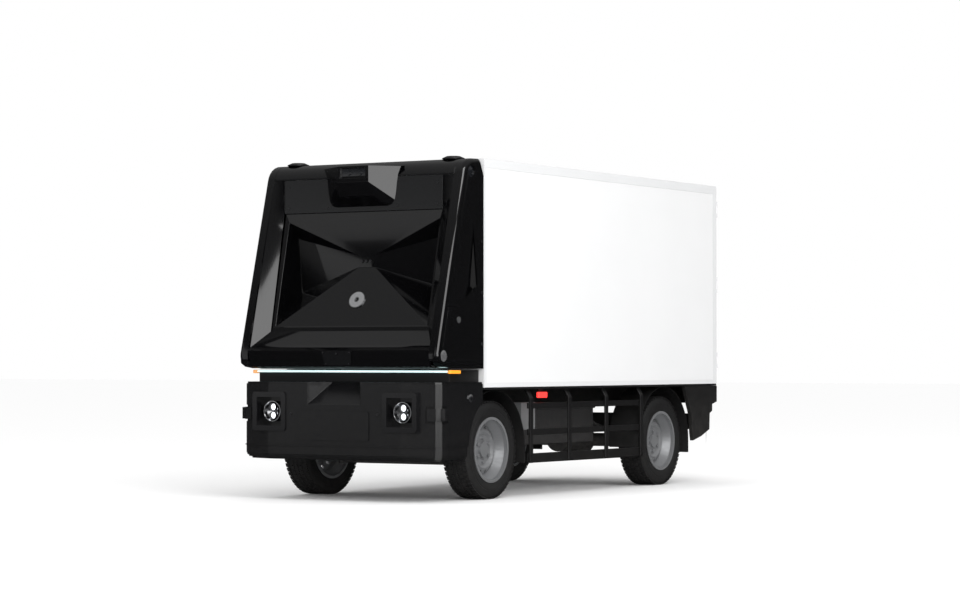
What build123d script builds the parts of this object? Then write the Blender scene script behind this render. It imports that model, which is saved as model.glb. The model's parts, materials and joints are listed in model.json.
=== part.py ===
from build123d import *
import math
import os

# Driverless electric box truck: a cab-less front module and a cargo box on a ladder chassis.
# Millimetres. The front faces -Y, the vehicle's left side is +X, and Z is up from the ground.
# The origin is on the ground, under the middle of the overall length and width.

# Driving dimensions
half_width = 800.0             # body side, box and front module alike
wheelbase = 2441.0
front_overhang = 800.0         # front axle to the headlight frames, the foremost part
bumper_face = 790.0            # front axle to the flat bumper face
rear_overhang = 859.0          # rear axle to the rear bumper face
tyre_radius = 330.0            # 195/65 R16C
tyre_width = 196.0
rim_radius = 220.0             # outer edge of the rim flange, 16 inch rim
half_track = 645.0
box_front = 197.0              # box front face, ahead of the front axle
box_back = 811.0               # box rear face, behind the rear axle
box_bottom = 750.0
box_top = 2273.0
box_wall = 30.0
floor_thick = 45.0
trim_size = 62.0               # width of the corner extrusions
trim_thick = 3.0
cab_top = 2265.0
cab_bottom = 876.0             # underside of the front module's side panel
cab_back = 203.0               # rear edge of the front module, ahead of the front axle
cab_lean = 0.2629              # forward lean of the front, mm of Y for each mm of Z
crease_y = 762.0               # lowest front crease, ahead of the front axle
crease_z = 976.0
cab_roof_radius = 130.0
pillar_inner = 725.0           # inner face of the side panel's front pillar
panel_skin = 12.0
pillar_depth = 62.0            # front edge of the side panel to its hollow
roof_edge = 14.0               # top edge of the side panel to its hollow
seam = 0.8                     # panel gap
arch_radius = 390.0            # front wheel opening in the bumper
bumper_top = 775.0
bumper_lip = 367.0
bumper_low = 272.0
bumper_skin = 12.0
rail_outer = 360.0
rail_width = 60.0
rail_height = 140.0
rail_web = 8.0
sill_depth = 15.0
rail_top = 740.0
rail_front = 600.0             # rail ends, ahead of the front axle and behind the rear axle
rail_back = 740.0
door_frame_depth = 62.0
kingpin_x = 560.0
kingpin_radius = 16.0
steer_arm = 120.0              # kingpin to tie rod joint, behind the axle
axle_stub_radius = 28.0
running_clearance = 0.05       # radial gap of a shaft in its hole
face_clearance = 0.3           # gap between faces that move past each other
hinge_radius = 7.0
hinge_pin_radius = 3.5
hinge_proud = 10.0             # door hinge axis behind the door face
lock_rod_radius = 12.0
lock_rod_offset = 22.0         # lock rod axis behind the door face
door_gap = 3.0
guard_post = 45.0
guard_depth = 28.0
latch_radius = 14.0
plate_bolts = (240.0, 128.0)   # number plate bolt spacing, across and up
plate_bolt_hole = 3.3
plate_centre = 498.5           # height of the middle of the number plate
headlight_x = 521.0            # centre of each headlight
headlight_z = 590.0
lamp_wide = 101.0              # half the width and height of the opening in each headlight frame
lamp_high = 97.0
lock_rod_x = 150.0             # lock rod axis from the middle of the doors
brow_y = 762.0                 # lower front edge of the front frame, ahead of the front axle
brow_z = 996.0
skirt_y = 738.0                # foot of the nearly upright lower face
skirt_z = 890.0

overall_length = front_overhang + wheelbase + rear_overhang
front_axle = -overall_length / 2 + front_overhang
rear_axle = front_axle + wheelbase
rear_face = rear_axle + rear_overhang
box_y0 = front_axle - box_front
box_y1 = rear_axle + box_back
inner_half = half_width - box_wall


def ahead(distance):
    return front_axle - distance


def save(name, *solids):
    shapes = [s for item in solids for s in (item if isinstance(item, (list, tuple)) else [item])]
    bodies = [b for s in shapes for b in s.solids()]
    export_step(bodies[0] if len(bodies) == 1 else Compound(bodies), f"parts/{name}.step")


def block(x0, x1, y0, y1, z0, z1):
    return Solid.make_box(x1 - x0, y1 - y0, z1 - z0, Plane((x0, y0, z0)))


def outline_face(points):
    return Face(Wire.make_polygon([Vector(*p) for p in points], close=True))


def side_prism(points, x0, x1):
    """Outline in (y, z), extruded from x0 to x1."""
    return Solid.extrude(outline_face([(x0, y, z) for y, z in points]), Vector(x1 - x0, 0, 0))


def plan_prism(points, z0, z1):
    """Outline in (x, y), extruded from z0 to z1."""
    return Solid.extrude(outline_face([(x, y, z0) for x, y in points]), Vector(0, 0, z1 - z0))


def front_prism(points, y0, y1):
    """Outline in (x, z), extruded from y0 to y1."""
    return Solid.extrude(outline_face([(x, y0, z) for x, z in points]), Vector(0, y1 - y0, 0))


def rod(start, direction, radius, length):
    return Solid.make_cylinder(radius, length, Plane(start, z_dir=direction))


def tube(start, direction, outer, inner, length):
    return rod(start, direction, outer, length) - rod(start, direction, inner, length)


def across(point):
    """The same point on the other side of the truck's middle plane."""
    return (-point[0], point[1], point[2])


def mirrored(shape):
    return mirror(shape, about=Plane.YZ)


def both(shape):
    return [shape, mirrored(shape)]


def facet(front, depth):
    """A planar facet given as points, thickened along +Y."""
    return Solid.extrude(outline_face(front), Vector(0, depth, 0))


def fuse(pieces):
    return pieces[0].fuse(*pieces[1:]) if len(pieces) > 1 else pieces[0]


# wheels
def tyre(side, axle_y):
    x_mid = side * half_track
    half = tyre_width / 2
    bead = rim_radius - 10.0
    profile = [
        (-half + 14, bead), (-half, bead + 45), (-half + 6, tyre_radius - 28), (-half + 28, tyre_radius),
        (half - 28, tyre_radius), (half - 6, tyre_radius - 28), (half, bead + 45), (half - 14, bead),
        (half - 24, bead), (half - 12, bead + 45), (half - 20, tyre_radius - 38), (half - 40, tyre_radius - 18),
        (-half + 40, tyre_radius - 18), (-half + 20, tyre_radius - 38), (-half + 12, bead + 45), (-half + 24, bead),
    ]
    ring = revolve(outline_face([(x, r, 0) for x, r in profile]), Axis.X)
    grooves = [tube((x - 4, 0, 0), (1, 0, 0), tyre_radius + 5, tyre_radius - 9, 8) for x in (-42, -14, 14, 42)]
    body = ring - grooves[0] - grooves[1] - grooves[2] - grooves[3]
    return Pos(x_mid, axle_y, tyre_radius) * body


def rim(side, axle_y):
    """Pressed steel rim: a dropped barrel, a dished disc with round vents, seen from outside."""
    half = tyre_width / 2
    inside = rim_radius - 10.0
    seat = inside - face_clearance
    barrel_pts = [
        (-half + 8, rim_radius), (-half + 8, seat), (-half + 30, seat), (-30, inside - 34),
        (10, inside - 34), (half - 30, seat), (half - 8, seat), (half - 8, rim_radius),
        (half - 2, rim_radius), (half - 2, inside - 8), (half - 28, inside - 8), (12, inside - 40),
        (-32, inside - 40), (-half + 28, inside - 8), (-half + 2, inside - 8), (-half + 2, rim_radius),
    ]
    barrel = revolve(outline_face([(x, r, 0) for x, r in barrel_pts]), Axis.X)
    disc_pts = [
        (20, 35), (20, 100), (38, 122), (32, 135), (4, inside - 37),
        (-4, inside - 37), (24, 135), (30, 122), (12, 100), (12, 35),
    ]
    disc = revolve(outline_face([(x, r, 0) for x, r in disc_pts]), Axis.X)
    wheel = barrel.fuse(disc)
    for k in range(14):
        a = 2 * math.pi * k / 14
        wheel = wheel - rod((-40, 148 * math.cos(a), 148 * math.sin(a)), (1, 0, 0), 11, 120)
    nuts = []
    for k in range(6):
        a = 2 * math.pi * (k + 0.5) / 6
        y, z = 78 * math.cos(a), 78 * math.sin(a)
        wheel = wheel - rod((0, y, z), (1, 0, 0), 8, 40)
        nuts.append(rod((20, y, z), (1, 0, 0), 13, 16).fuse(rod((-4, y, z), (1, 0, 0), 7.9, 26)))
    cap = rod((20, 0, 0), (1, 0, 0), 50, 18) - rod((22, 0, 0), (1, 0, 0), 44, 12)
    cap = cap - rod((20, 0, 0), (1, 0, 0), 36, 2)
    hub = rod((-26, 0, 0), (1, 0, 0), 92, 38) - rod((-26, 0, 0), (1, 0, 0), axle_stub_radius + running_clearance, 38)
    for nut in nuts:
        hub = hub - rod((-4, nut.center().Y, nut.center().Z), (1, 0, 0), 7.9, 20)
    pieces = [wheel, hub, cap] + nuts
    place = Pos(side * half_track, axle_y, tyre_radius)
    if side < 0:
        pieces = [mirrored(p) for p in pieces]
    return [place * p for p in pieces]


def knuckle(side):
    """Steering knuckle: an upright round the kingpin, a wheel spindle and a steering arm."""
    z = tyre_radius
    barrel = tube((kingpin_x, front_axle, z - 80), (0, 0, 1), 34, kingpin_radius + running_clearance, 160)
    gap = block(kingpin_x - 40, kingpin_x + 40, front_axle - 40, front_axle + 40,
                z - 45 - face_clearance, z + 45 + face_clearance)
    link = block(kingpin_x + 28, kingpin_x + 44, front_axle - 34, front_axle + 34, z - 80, z + 80)
    spindle_end = half_track + 8
    spindle = rod((kingpin_x + 40, front_axle, z), (1, 0, 0), axle_stub_radius, spindle_end - kingpin_x - 40)
    arm = block(kingpin_x - 18, kingpin_x + 18, front_axle + 30, front_axle + steer_arm + 20, z - 80, z - 62)
    body = (barrel - gap).fuse(link).fuse(spindle).fuse(arm)
    return body if side > 0 else mirrored(body)


def tie_rod():
    """Track rod below the steering arms, with a ball stud housing under each arm's end."""
    y = front_axle + steer_arm
    z = tyre_radius - 80 - face_clearance
    pieces = [rod((-kingpin_x, y, z - 20), (1, 0, 0), 13, 2 * kingpin_x)]
    pieces += both(rod((kingpin_x, y, z - 36), (0, 0, 1), 20, 36))
    return fuse(pieces)


def front_axle_beam():
    z = tyre_radius
    half = kingpin_x
    beam = block(-half + 45, half - 45, front_axle - 30, front_axle + 30, z - 35, z + 35)
    ends = both(rod((half, front_axle, z - 45), (0, 0, 1), 26, 90))
    necks = both(block(half - 60, half - 20, front_axle - 26, front_axle + 26, z - 35, z + 35))
    pins = both(rod((half, front_axle, z - 79), (0, 0, 1), kingpin_radius, 158))
    return fuse([beam] + ends + necks + pins)


def rear_drive_axle():
    """Driven beam: tube, centre gear case, motor, and the stub that each wheel hub turns on."""
    z = tyre_radius
    end = half_track - 34
    beam = rod((-end, rear_axle, z), (1, 0, 0), 50, 2 * end)
    stubs = both(rod((end - 5, rear_axle, z), (1, 0, 0), axle_stub_radius, half_track + 8 - end + 5))
    gear_case = rod((0, rear_axle - 110, z), (0, 1, 0), 115, 220)
    motor = rod((40, rear_axle - 330, z + 20), (0, 1, 0), 105, 260)
    neck = rod((40, rear_axle - 100, z + 20), (0, 1, 0), 60, 60)
    plates = both(rod((end - 30, rear_axle, z), (1, 0, 0), 110, 12))
    pads = both(block(rail_outer - rail_width + 4, rail_outer - 4, rear_axle - 45, rear_axle + 45, z + 30, z + 56))
    return fuse([beam, gear_case, motor, neck] + stubs + plates + pads)


def leaf_springs():
    """Four springs, each a stack of leaves between its two rail brackets, with its U-bolts and saddle."""
    springs = []
    x0, x1 = rail_outer - rail_width + 4, rail_outer - 4
    low_rail = rail_top - rail_height
    for axle_y, saddle_top in ((front_axle, tyre_radius + 35), (rear_axle, tyre_radius + 56)):
        half_span = 470.0
        eye_z = low_rail - 75
        sag = eye_z - saddle_top - 40
        arc = ThreePointArc((0, axle_y - half_span, eye_z), (0, axle_y, eye_z - sag), (0, axle_y + half_span, eye_z))
        pts = [arc @ (k / 12) for k in range(13)]
        for leaf in range(3):
            cut = leaf * 2
            upper = [(p.Y, p.Z - 9 * leaf) for p in pts[cut:13 - cut]]
            lower = [(y, zz - 9) for y, zz in reversed(upper)]
            springs += both(side_prism(upper + lower, x0, x1))
        for end in (-1, 1):
            y = axle_y + end * half_span
            springs += both(block(x0, x1, y - 24, y + 24, eye_z, low_rail))
        saddle = block(x0, x1, axle_y - 45, axle_y + 45, saddle_top, eye_z - sag - 27)
        springs += both(saddle)
    return springs


# chassis
def chassis_rails():
    y0, y1 = ahead(rail_front), rear_axle + rail_back
    low = rail_top - rail_height
    rail = block(rail_outer - rail_width, rail_outer, y0, y1, low, rail_top)
    rail = rail - block(rail_outer - rail_width - 1, rail_outer - rail_web, y0 - 1, y1 + 1,
                        low + rail_web, rail_top - rail_web)
    return both(rail)


def chassis_crossmembers():
    """Tubes between the rails, the bumper beam, and the bearers that carry the box floor."""
    inner = rail_outer - rail_web
    low = rail_top - rail_height
    y0, y1 = ahead(rail_front), rear_axle + rail_back
    pieces = []
    for k in range(6):
        y = y0 + 60 + k * (y1 - y0 - 120) / 5
        pieces.append(block(-inner, inner, y - 30, y + 30, low + 20, rail_top - 20))
    pieces.append(block(-620, 620, y0 - 70, y0, low + 10, rail_top - 10))
    pieces += both(block(270, 330, ahead(bumper_face - bumper_skin), y0 - 70, low + 20, low + 80))
    for k in range(8):
        y = box_y0 + 60 + k * (box_y1 - door_frame_depth - 30 - box_y0 - 60) / 7
        pieces.append(block(-half_width + 45, half_width - 45, y - 22, y + 22, rail_top, box_bottom + 15))
    return pieces + box_sill() + lamp_brackets()


def battery_pack():
    low = rail_top - rail_height
    y0, y1 = front_axle + 560, rear_axle - 520
    case = block(-450, 450, y0, y1, 335, low - 20)
    lid = block(-462, 462, y0 - 12, y1 + 12, low - 20, low - 8)
    feet = both(block(rail_outer - rail_width, rail_outer, y0 + 100, y1 - 100, low - 8, low))
    return fuse([case, lid] + feet)


def electrical_boxes():
    """Service unit on a rail bracket behind the left guard, and the computer cabinet in the front module."""
    y0 = front_axle + 560
    case = block(545, 640, y0, y0 + 190, 450, 640)
    bracket = block(rail_outer, 545, y0 + 20, y0 + 170, 610, 634)
    return [fuse([case, bracket]), control_cabinet()]


def side_guard(side):
    """Bolted guard: three rails behind four posts whose tops bend in to the box floor's edge."""
    posts_y = [front_axle + 442 + k * (wheelbase - 841) / 3 for k in range(4)]
    x1 = half_width - 7
    x0 = x1 - guard_depth / 2
    bend = 672.0
    top = box_bottom - 15
    h = guard_post / 2
    pieces = []
    for y in posts_y:
        post = [(x0, 229), (x1, 229), (x1, bend), (x1 - 34, top), (x0 - 34, top), (x0, bend)]
        pieces.append(front_prism(post, y - h, y + h))
    for z0, z1 in ((229, 294), (419, 461), (600, 640)):
        pieces.append(block(x0 - guard_depth / 2, x0, posts_y[0] - h, posts_y[-1] + h, z0, z1))
    return pieces if side > 0 else [mirrored(p) for p in pieces]


def wheel_liners():
    """Arched plates over each wheel, with a straight mudguard tail behind it."""
    outer_r = box_bottom - sill_depth - face_clearance - tyre_radius
    pieces = []
    for axle_y in (front_axle, rear_axle):
        x0, x1 = (390, 762) if axle_y == front_axle else (520, 762)
        arch = tube((x0, axle_y, tyre_radius), (1, 0, 0), outer_r, outer_r - 6, x1 - x0)
        arch = arch - block(x0 - 1, x1 + 1, axle_y - 500, axle_y + 500, -200, tyre_radius)
        tail_low = 232.0
        tail = block(x0, x1, axle_y + outer_r - 6, axle_y + outer_r, tail_low, tyre_radius)
        nose = block(x0, x1, axle_y - outer_r, axle_y - outer_r + 6, 290, tyre_radius)
        pieces += both(fuse([arch, tail, nose]))
    return pieces


def rear_bumper():
    """Rear step: a cross beam with tail lamp housings and a corner skirt on each side."""
    a = rear_axle
    skirt = [
        (a + 281, box_bottom - 16), (a + 398, 509), (a + 411, 377), (a + 425, 320), (a + 560, 350),
        (a + 700, 400), (a + 706, 523), (a + 748, 541), (a + 749, 592), (a + 827, 611), (a + 827, box_bottom - 16),
    ]
    corner = side_prism(skirt, half_width - 36, half_width - 6)
    beam = block(-half_width + 36, half_width - 36, a + 640, a + 700, 400, 520)
    step = block(-half_width + 36, half_width - 36, a + 750, rear_face - 30, 600, box_bottom - 16)
    arms = both(block(rail_outer, rail_outer + 42, a + 700, a + 750, 400, box_bottom - 30))
    buffers = both(block(430, 500, rear_face - 30, rear_face, 610, box_bottom - 26))
    return [beam, step] + arms + both(corner) + buffers


def red_lamps():
    """Tail lamp pair in the rear step, and a red side marker high behind each front wheel."""
    tail = block(half_width - 210, half_width - 60, rear_face - 30, rear_face - 18, 630, 705)
    marker = block(inner_half - 20, inner_half + 4, front_axle + 575, front_axle + 690, 672, 712)
    return both(tail) + both(marker)


def lamp_brackets():
    """Bracket that hangs each side marker from the box floor."""
    arm = block(inner_half - 26, inner_half - 20, front_axle + 600, front_axle + 665, 672, rail_top + 10)
    return both(arm)


# cargo box
def box_floor():
    low = box_bottom + 15
    y0, y1 = box_y0 + box_wall, box_y1 - door_frame_depth
    return block(-inner_half, inner_half, y0, y1, low, low + floor_thick)


def box_sill():
    """Black sill along each lower edge of the box."""
    return both(block(inner_half - 20, half_width - 4, box_y0, box_y1, box_bottom - sill_depth, box_bottom))


def box_side(side):
    wall = block(inner_half, half_width, box_y0 + box_wall, box_y1 - door_frame_depth, box_bottom, box_top - box_wall)
    return wall if side > 0 else mirrored(wall)


def box_roof():
    return block(-half_width, half_width, box_y0 + box_wall, box_y1 - door_frame_depth, box_top - box_wall, box_top)


def box_front_wall():
    return block(-half_width, half_width, box_y0, box_y0 + box_wall, box_bottom, box_top)


def box_trims():
    """Corner extrusions laid over the panel edges, thin and proud of the skin."""
    t = trim_thick
    x = half_width
    side_top = block(x, x + t, box_y0, box_y1 - door_frame_depth, box_top - trim_size, box_top)
    side_front = block(x, x + t, box_y0, box_y0 + trim_size / 2, box_bottom, box_top - trim_size)
    side_low = block(x, x + t, box_y0 + trim_size / 2, box_y1 - door_frame_depth,
                     box_bottom, box_bottom + trim_size / 2)
    return both(side_top.fuse(side_front)) + both(side_low)


def rear_door_frame():
    """Steel portal at the back of the box, with the hinge pins and the lock rod keepers."""
    y0, y1 = box_y1 - door_frame_depth, box_y1 - 0.5
    post = 35.0
    header = 38.0
    sill_top = box_bottom + 15 + floor_thick
    outer = block(-half_width, half_width, y0, y1, box_bottom, box_top)
    frame = outer - block(-half_width + post, half_width - post, y0 - 1, y1 + 1, sill_top, box_top - header)
    pins = []
    for z in door_hinge_heights():
        centre = (half_width - 3, box_y1 + hinge_proud, z - 60)
        pin = rod(centre, (0, 0, 1), hinge_pin_radius, 120)
        for low in (z - 60, z + 30):
            knuckle_part = rod((centre[0], centre[1], low), (0, 0, 1), hinge_radius, 30)
            leaf = block(half_width - 10, half_width - 3, y1, box_y1 + hinge_proud, low, low + 30)
            pin = pin.fuse(knuckle_part).fuse(leaf)
        pins += both(pin)
    keepers = []
    for z0, z1 in ((box_bottom + 8, sill_top - 8), (box_top - 34, box_top - 8)):
        ear = block(lock_rod_x - 27, lock_rod_x - 15, y1, box_y1 + 30, z0, z1)
        keepers += both(ear)
    return fuse([frame] + pins + keepers)


def door_hinge_heights():
    low, high = box_bottom + 180, box_top - 180
    return [low, (low + high) / 2, high]


def rear_door(side):
    """Door leaf with hinge straps and the brackets that its lock rod turns in."""
    z0 = box_bottom + 15 + floor_thick + door_gap
    z1 = box_top - 38 - door_gap
    x1 = half_width - 35 - door_gap
    leaf = block(door_gap / 2, x1, box_y1 - 38, box_y1, z0, z1)
    pieces = [leaf]
    for z in door_hinge_heights():
        barrel = tube((half_width - 3, box_y1 + hinge_proud, z - 30 + face_clearance), (0, 0, 1),
                      hinge_radius, hinge_pin_radius + running_clearance, 60 - 2 * face_clearance)
        strap = block(x1 - 170, half_width - 3, box_y1, box_y1 + 6, z - 26, z + 26)
        clear = rod((half_width - 3, box_y1 + hinge_proud, z - 40), (0, 0, 1), hinge_pin_radius + 1, 80)
        pieces.append((strap - clear).fuse(barrel))
    for z in (z0 + 90, (z0 + z1) / 2, z1 - 90):
        x, y = lock_rod_x, box_y1 + lock_rod_offset
        bracket = block(x - 30, x + 30, box_y1, y + 18, z - 15, z + 15)
        bracket = bracket - rod((x, y, z - 16), (0, 0, 1), lock_rod_radius + running_clearance, 32)
        pieces.append(bracket)
    body = fuse(pieces)
    return body if side > 0 else mirrored(body)


def door_lock_rod(side):
    """Turning rod with a cam at each end and the handle that swings out."""
    x, y = lock_rod_x, box_y1 + lock_rod_offset
    z0, z1 = box_bottom + 6, box_top - 6
    pieces = [rod((x, y, z0), (0, 0, 1), lock_rod_radius, z1 - z0)]
    for low in (box_bottom + 12, box_top - 34):
        pieces.append(block(x - 10, x + 10, y - 20, y, low, low + 22))
    handle_z = box_bottom + 420
    pieces.append(block(x - 6, x + 250, y - 5, y + 7, handle_z - 14, handle_z + 14))
    pieces.append(rod((x, y, handle_z - 30), (0, 0, 1), lock_rod_radius + 6, 60))
    body = fuse(pieces)
    return body if side > 0 else mirrored(body)


# front module
def cab_outline():
    """Side view of the front module, (y, z), with the rounded front edge of the roof as an arc."""
    top_y = ahead(crease_y - cab_lean * (cab_top - crease_z))
    lean_angle = math.atan(cab_lean)
    back = cab_roof_radius * math.tan((math.pi / 2 - lean_angle) / 2)
    centre = (top_y + back, cab_top - cab_roof_radius)
    arc = []
    for k in range(7):
        a = math.pi / 2 + k / 6 * (math.pi / 2 - lean_angle)
        arc.append((centre[0] + cab_roof_radius * math.cos(a), centre[1] + cab_roof_radius * math.sin(a)))
    low = [
        (ahead(crease_y), crease_z), (ahead(crease_y - 4), crease_z - 52), (ahead(687), 887),
        (ahead(600), cab_bottom), (ahead(cab_back), cab_bottom), (ahead(cab_back), cab_top - 108),
        (ahead(cab_back + 51), cab_top),
    ]
    return arc + low


def grow(points, gap):
    """Polygon grown outwards by the gap, keeping its corners sharp; its points run anticlockwise."""
    lines = []
    for (x0, y0), (x1, y1) in zip(points, points[1:] + points[:1]):
        length = math.hypot(x1 - x0, y1 - y0)
        nx, ny = (y1 - y0) / length, (x0 - x1) / length
        lines.append((nx, ny, nx * x0 + ny * y0 + gap))
    corners = []
    for (a0, b0, c0), (a1, b1, c1) in zip([lines[-1]] + lines[:-1], lines):
        det = a0 * b1 - a1 * b0
        corners.append(((c0 * b1 - c1 * b0) / det, (a0 * c1 - a1 * c0) / det))
    return corners


def hatch_outline():
    """Service hatch in the lower front corner of the side panel, anticlockwise in (y, z)."""
    top, low = 1272.0, 900.0
    front_top = ahead(crease_y - cab_lean * (top - crease_z) - 46)
    return [(ahead(700), low), (ahead(235), low), (ahead(235), 972), (ahead(517), top), (front_top, top),
            (ahead(716), crease_z)]


def latch_place():
    return ahead(513), 1195.0


def cab_side(side):
    """Side panel: outer skin and the rounded front pillar, with the hatch, window and camera openings."""
    shell = side_prism(cab_outline(), pillar_inner, half_width)
    front_edges = [e for e in shell.edges() if abs(e.center().X - half_width) < 0.1
                   and e.center().Y < ahead(cab_back + 100) and e.center().Z > crease_z - 60]
    shell = shell.fillet(34.0, front_edges)
    hollow = []
    for y, z in cab_outline():
        back = pillar_depth if y <= ahead(300) else 0
        down = roof_edge if z > cab_top / 2 + 400 else 0
        hollow.append((y + back, z - down))
    core = side_prism(hollow, pillar_inner - 1, half_width - panel_skin)
    core = core - block(0, half_width, ahead(900), ahead(0), 0, cab_bottom + 14)
    panel = shell - core
    panel = panel - side_prism(grow(hatch_outline(), seam), half_width - panel_skin - 10, half_width + 1)
    window = [(ahead(328), 1813), (ahead(278), 1425), (ahead(437), 1327), (ahead(399), 1432)]
    panel = panel - side_prism(window, half_width - panel_skin - 2, half_width + 1)
    panel = panel - rod((half_width - 60, ahead(358), 2177), (1, 0, 0), 42, 80)
    pocket = block(half_width - 48, half_width - panel_skin, ahead(450), ahead(262), 1310, 1830)
    pocket = pocket - block(half_width - 40, half_width, ahead(442), ahead(270), 1318, 1822)
    panel = panel.fuse(pocket)
    return panel if side > 0 else mirrored(panel)


def service_hatch(side):
    panel = side_prism(hatch_outline(), half_width - panel_skin, half_width)
    y, z = latch_place()
    panel = panel - rod((half_width - 40, y, z), (1, 0, 0), latch_radius + running_clearance, 60)
    stiffener = block(half_width - 24, half_width - panel_skin, ahead(660), ahead(300), 915, 945)
    panel = panel.fuse(stiffener)
    return panel if side > 0 else mirrored(panel)


def hatch_latch(side):
    """Quarter turn lock: barrel through the hatch, head outside and a cam inside."""
    y, z = latch_place()
    x = half_width
    barrel = rod((x - 30, y, z), (1, 0, 0), latch_radius, 30)
    head = rod((x + 0.2, y, z), (1, 0, 0), latch_radius + 8, 2.5).fuse(rod((x - 1, y, z), (1, 0, 0), latch_radius, 2))
    slot = block(x + 1.2, x + 4, y - 9, y + 9, z - 1.5, z + 1.5)
    cam = block(x - 30, x - 25, y - 10, y + 10, z - 14, z + 50)
    body = fuse([barrel, head, cam]) - slot
    return body if side > 0 else mirrored(body)


def rim_point(x, z):
    """A point on the leaning plane of the front frame's outer rim."""
    return (x, ahead(731 - 0.245 * (z - 1017)), z)


def front_frame():
    """Surround of the funnel panel: bevelled sides and sill, and the turned-under lower face."""
    depth = 12.0
    low, mid, top = 1017.0, 1932.0, 2157.0
    x_low = pillar_inner - seam
    inner_low = (634, ahead(620), 1125)
    inner_mid = (639, ahead(456), mid)
    inner_top = (638, ahead(455), top)
    a, b, c = rim_point(x_low, low), rim_point(x_low, mid), rim_point(x_low, top)
    side = [
        facet([a, b, inner_mid], depth), facet([a, inner_mid, inner_low], depth),
        facet([b, c, inner_top], depth), facet([b, inner_top, inner_mid], depth),
    ]
    sill = facet([a, inner_low, across(inner_low), across(a)], depth)
    crease = (x_low, ahead(brow_y), brow_z)
    foot = (x_low, ahead(skirt_y), skirt_z)
    brow = facet([a, across(a), across(crease), crease], depth)
    lower = facet([crease, across(crease), across(foot), foot], depth)
    under = side_prism([(ahead(skirt_y), skirt_z), (ahead(602), 870), (ahead(602), 880),
                        (ahead(skirt_y - 8), skirt_z + 10)], -x_low, x_low)
    step = block(-634, 634, ahead(632), ahead(606), 1125, 1149)
    return fuse([sill, brow, lower, under, step] + [p for s in side for p in both(s)])


def funnel_panel():
    """Moulded panel: two ramps and two deeper side pockets that meet at a small centre plate."""
    depth = 12.0
    edge_top, edge_low = (636, ahead(444), 1928), (634, ahead(607), 1149.5)
    wedge_top = (608, ahead(440), 1866)
    floor_top = (608, ahead(333), 1766)
    floor_low = (608, ahead(286), 1392)
    wedge_low = (608, ahead(599), 1159)
    hub_top, hub_low = (70, ahead(400), 1637), (70, ahead(400), 1554)
    centre = facet([hub_top, hub_low, across(hub_low), across(hub_top)], depth)
    top_ramp = facet([(608, ahead(444), 1928), hub_top, across(hub_top), (-608, ahead(444), 1928)], depth)
    low_ramp = facet([hub_low, wedge_low, across(wedge_low), across(hub_low)], depth)
    strip_low = facet([wedge_low, (608, edge_low[1], 1149.5), (-608, edge_low[1], 1149.5), across(wedge_low)], depth)
    side = [
        facet([(608, ahead(444), 1928), wedge_top, hub_top], depth),
        facet([hub_top, wedge_top, floor_top], depth),
        facet([hub_top, floor_top, floor_low], depth), facet([hub_top, floor_low, hub_low], depth),
        facet([hub_low, floor_low, wedge_low], depth),
        facet([edge_top, edge_low, (608, edge_low[1], 1149.5), (608, ahead(444), 1928)], depth),
    ]
    wall_pts = [(p[1], p[2]) for p in (wedge_top, floor_top, floor_low, wedge_low)]
    wall_back = [(p[1] + 14, p[2]) for p in (floor_top, floor_low)]
    wall = side_prism([wall_pts[0], wall_back[0], wall_back[1], wall_pts[3]], 608, 620)
    side.append(wall)
    return fuse([centre, top_ramp, low_ramp, strip_low] + [p for s in side for p in both(s)])


def top_band():
    """Flat plate across the top of the funnel, cut out behind the sensor pod."""
    return block(-637, 637, ahead(455), ahead(445), 1929, 2156)


def pod_points():
    return {
        "rim": [(300, ahead(455), 2232), (282, ahead(455), 2128), (265, ahead(455), 1997), (205, ahead(455), 1961)],
        "nose_top": (119, ahead(564), 2236), "nose_low": (128, ahead(574), 2112), "chin": (135, ahead(533), 2029),
    }


def polyhedron(faces):
    return Solid(Shell([outline_face(f) for f in faces]))


def sensor_pod():
    """Faceted housing for the forward camera, on the top band."""
    p = pod_points()
    r0, r1, r2, r3 = p["rim"]
    top, low, chin = p["nose_top"], p["nose_low"], p["chin"]
    half = [[r0, r1, top], [r1, low, top], [r1, r2, low], [r2, chin, low], [r2, r3, chin]]
    faces = half + [[across(q) for q in f] for f in half]
    faces += [[top, low, across(low), across(top)], [low, chin, across(chin), across(low)]]
    faces += [[chin, r3, across(r3), across(chin)], [r0, top, across(top), across(r0)]]
    faces.append([r0, r1, r2, r3, across(r3), across(r2), across(r1), across(r0)])
    body = polyhedron(faces)
    filler = block(-280, 280, ahead(455), ahead(330), 2157, 2232) - side_prism(cab_outline(), -300, 300)
    window = block(-100, 100, ahead(600), ahead(545), 2150, 2214)
    return body.fuse(filler) - window


def cameras():
    """Forward camera window and lens pair, and the round side cameras, upper and lower."""
    glass = block(-99.5, 99.5, ahead(556), ahead(545), 2150.5, 2213.5)
    lenses = both(rod((45, ahead(556), 2182), (0, -1, 0), 19, 8))
    upper = rod((half_width - 30, ahead(358), 2177), (1, 0, 0), 41.5, 24)
    upper = upper.fuse(Solid.make_cone(30, 14, 9, Plane((half_width - 6, ahead(358), 2177), z_dir=(1, 0, 0))))
    return [glass] + lenses + both(upper) + side_lamps()


def side_lamps():
    """Small round lamp low on each side of the bumper, in a short collar."""
    lamp = rod((half_width, ahead(372), 680), (1, 0, 0), 26, 6)
    ball = Solid.make_cone(22, 12, 8, Plane((half_width + 6, ahead(372), 680), z_dir=(1, 0, 0)))
    return both(lamp.fuse(ball))


def cab_roof():
    """Roof skin between the side panels, rolled down over the front to the band."""
    outer = side_prism(cab_outline(), -pillar_inner + seam, pillar_inner - seam)
    inner_pts = [(y + 12 * (1 if y < ahead(400) else 0), z - 12) for y, z in cab_outline()]
    inner = side_prism(inner_pts, -pillar_inner, pillar_inner)
    skin = outer - inner
    keep = block(-half_width, half_width, ahead(700), ahead(cab_back), 2158, cab_top + 5)
    return skin & keep


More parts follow.
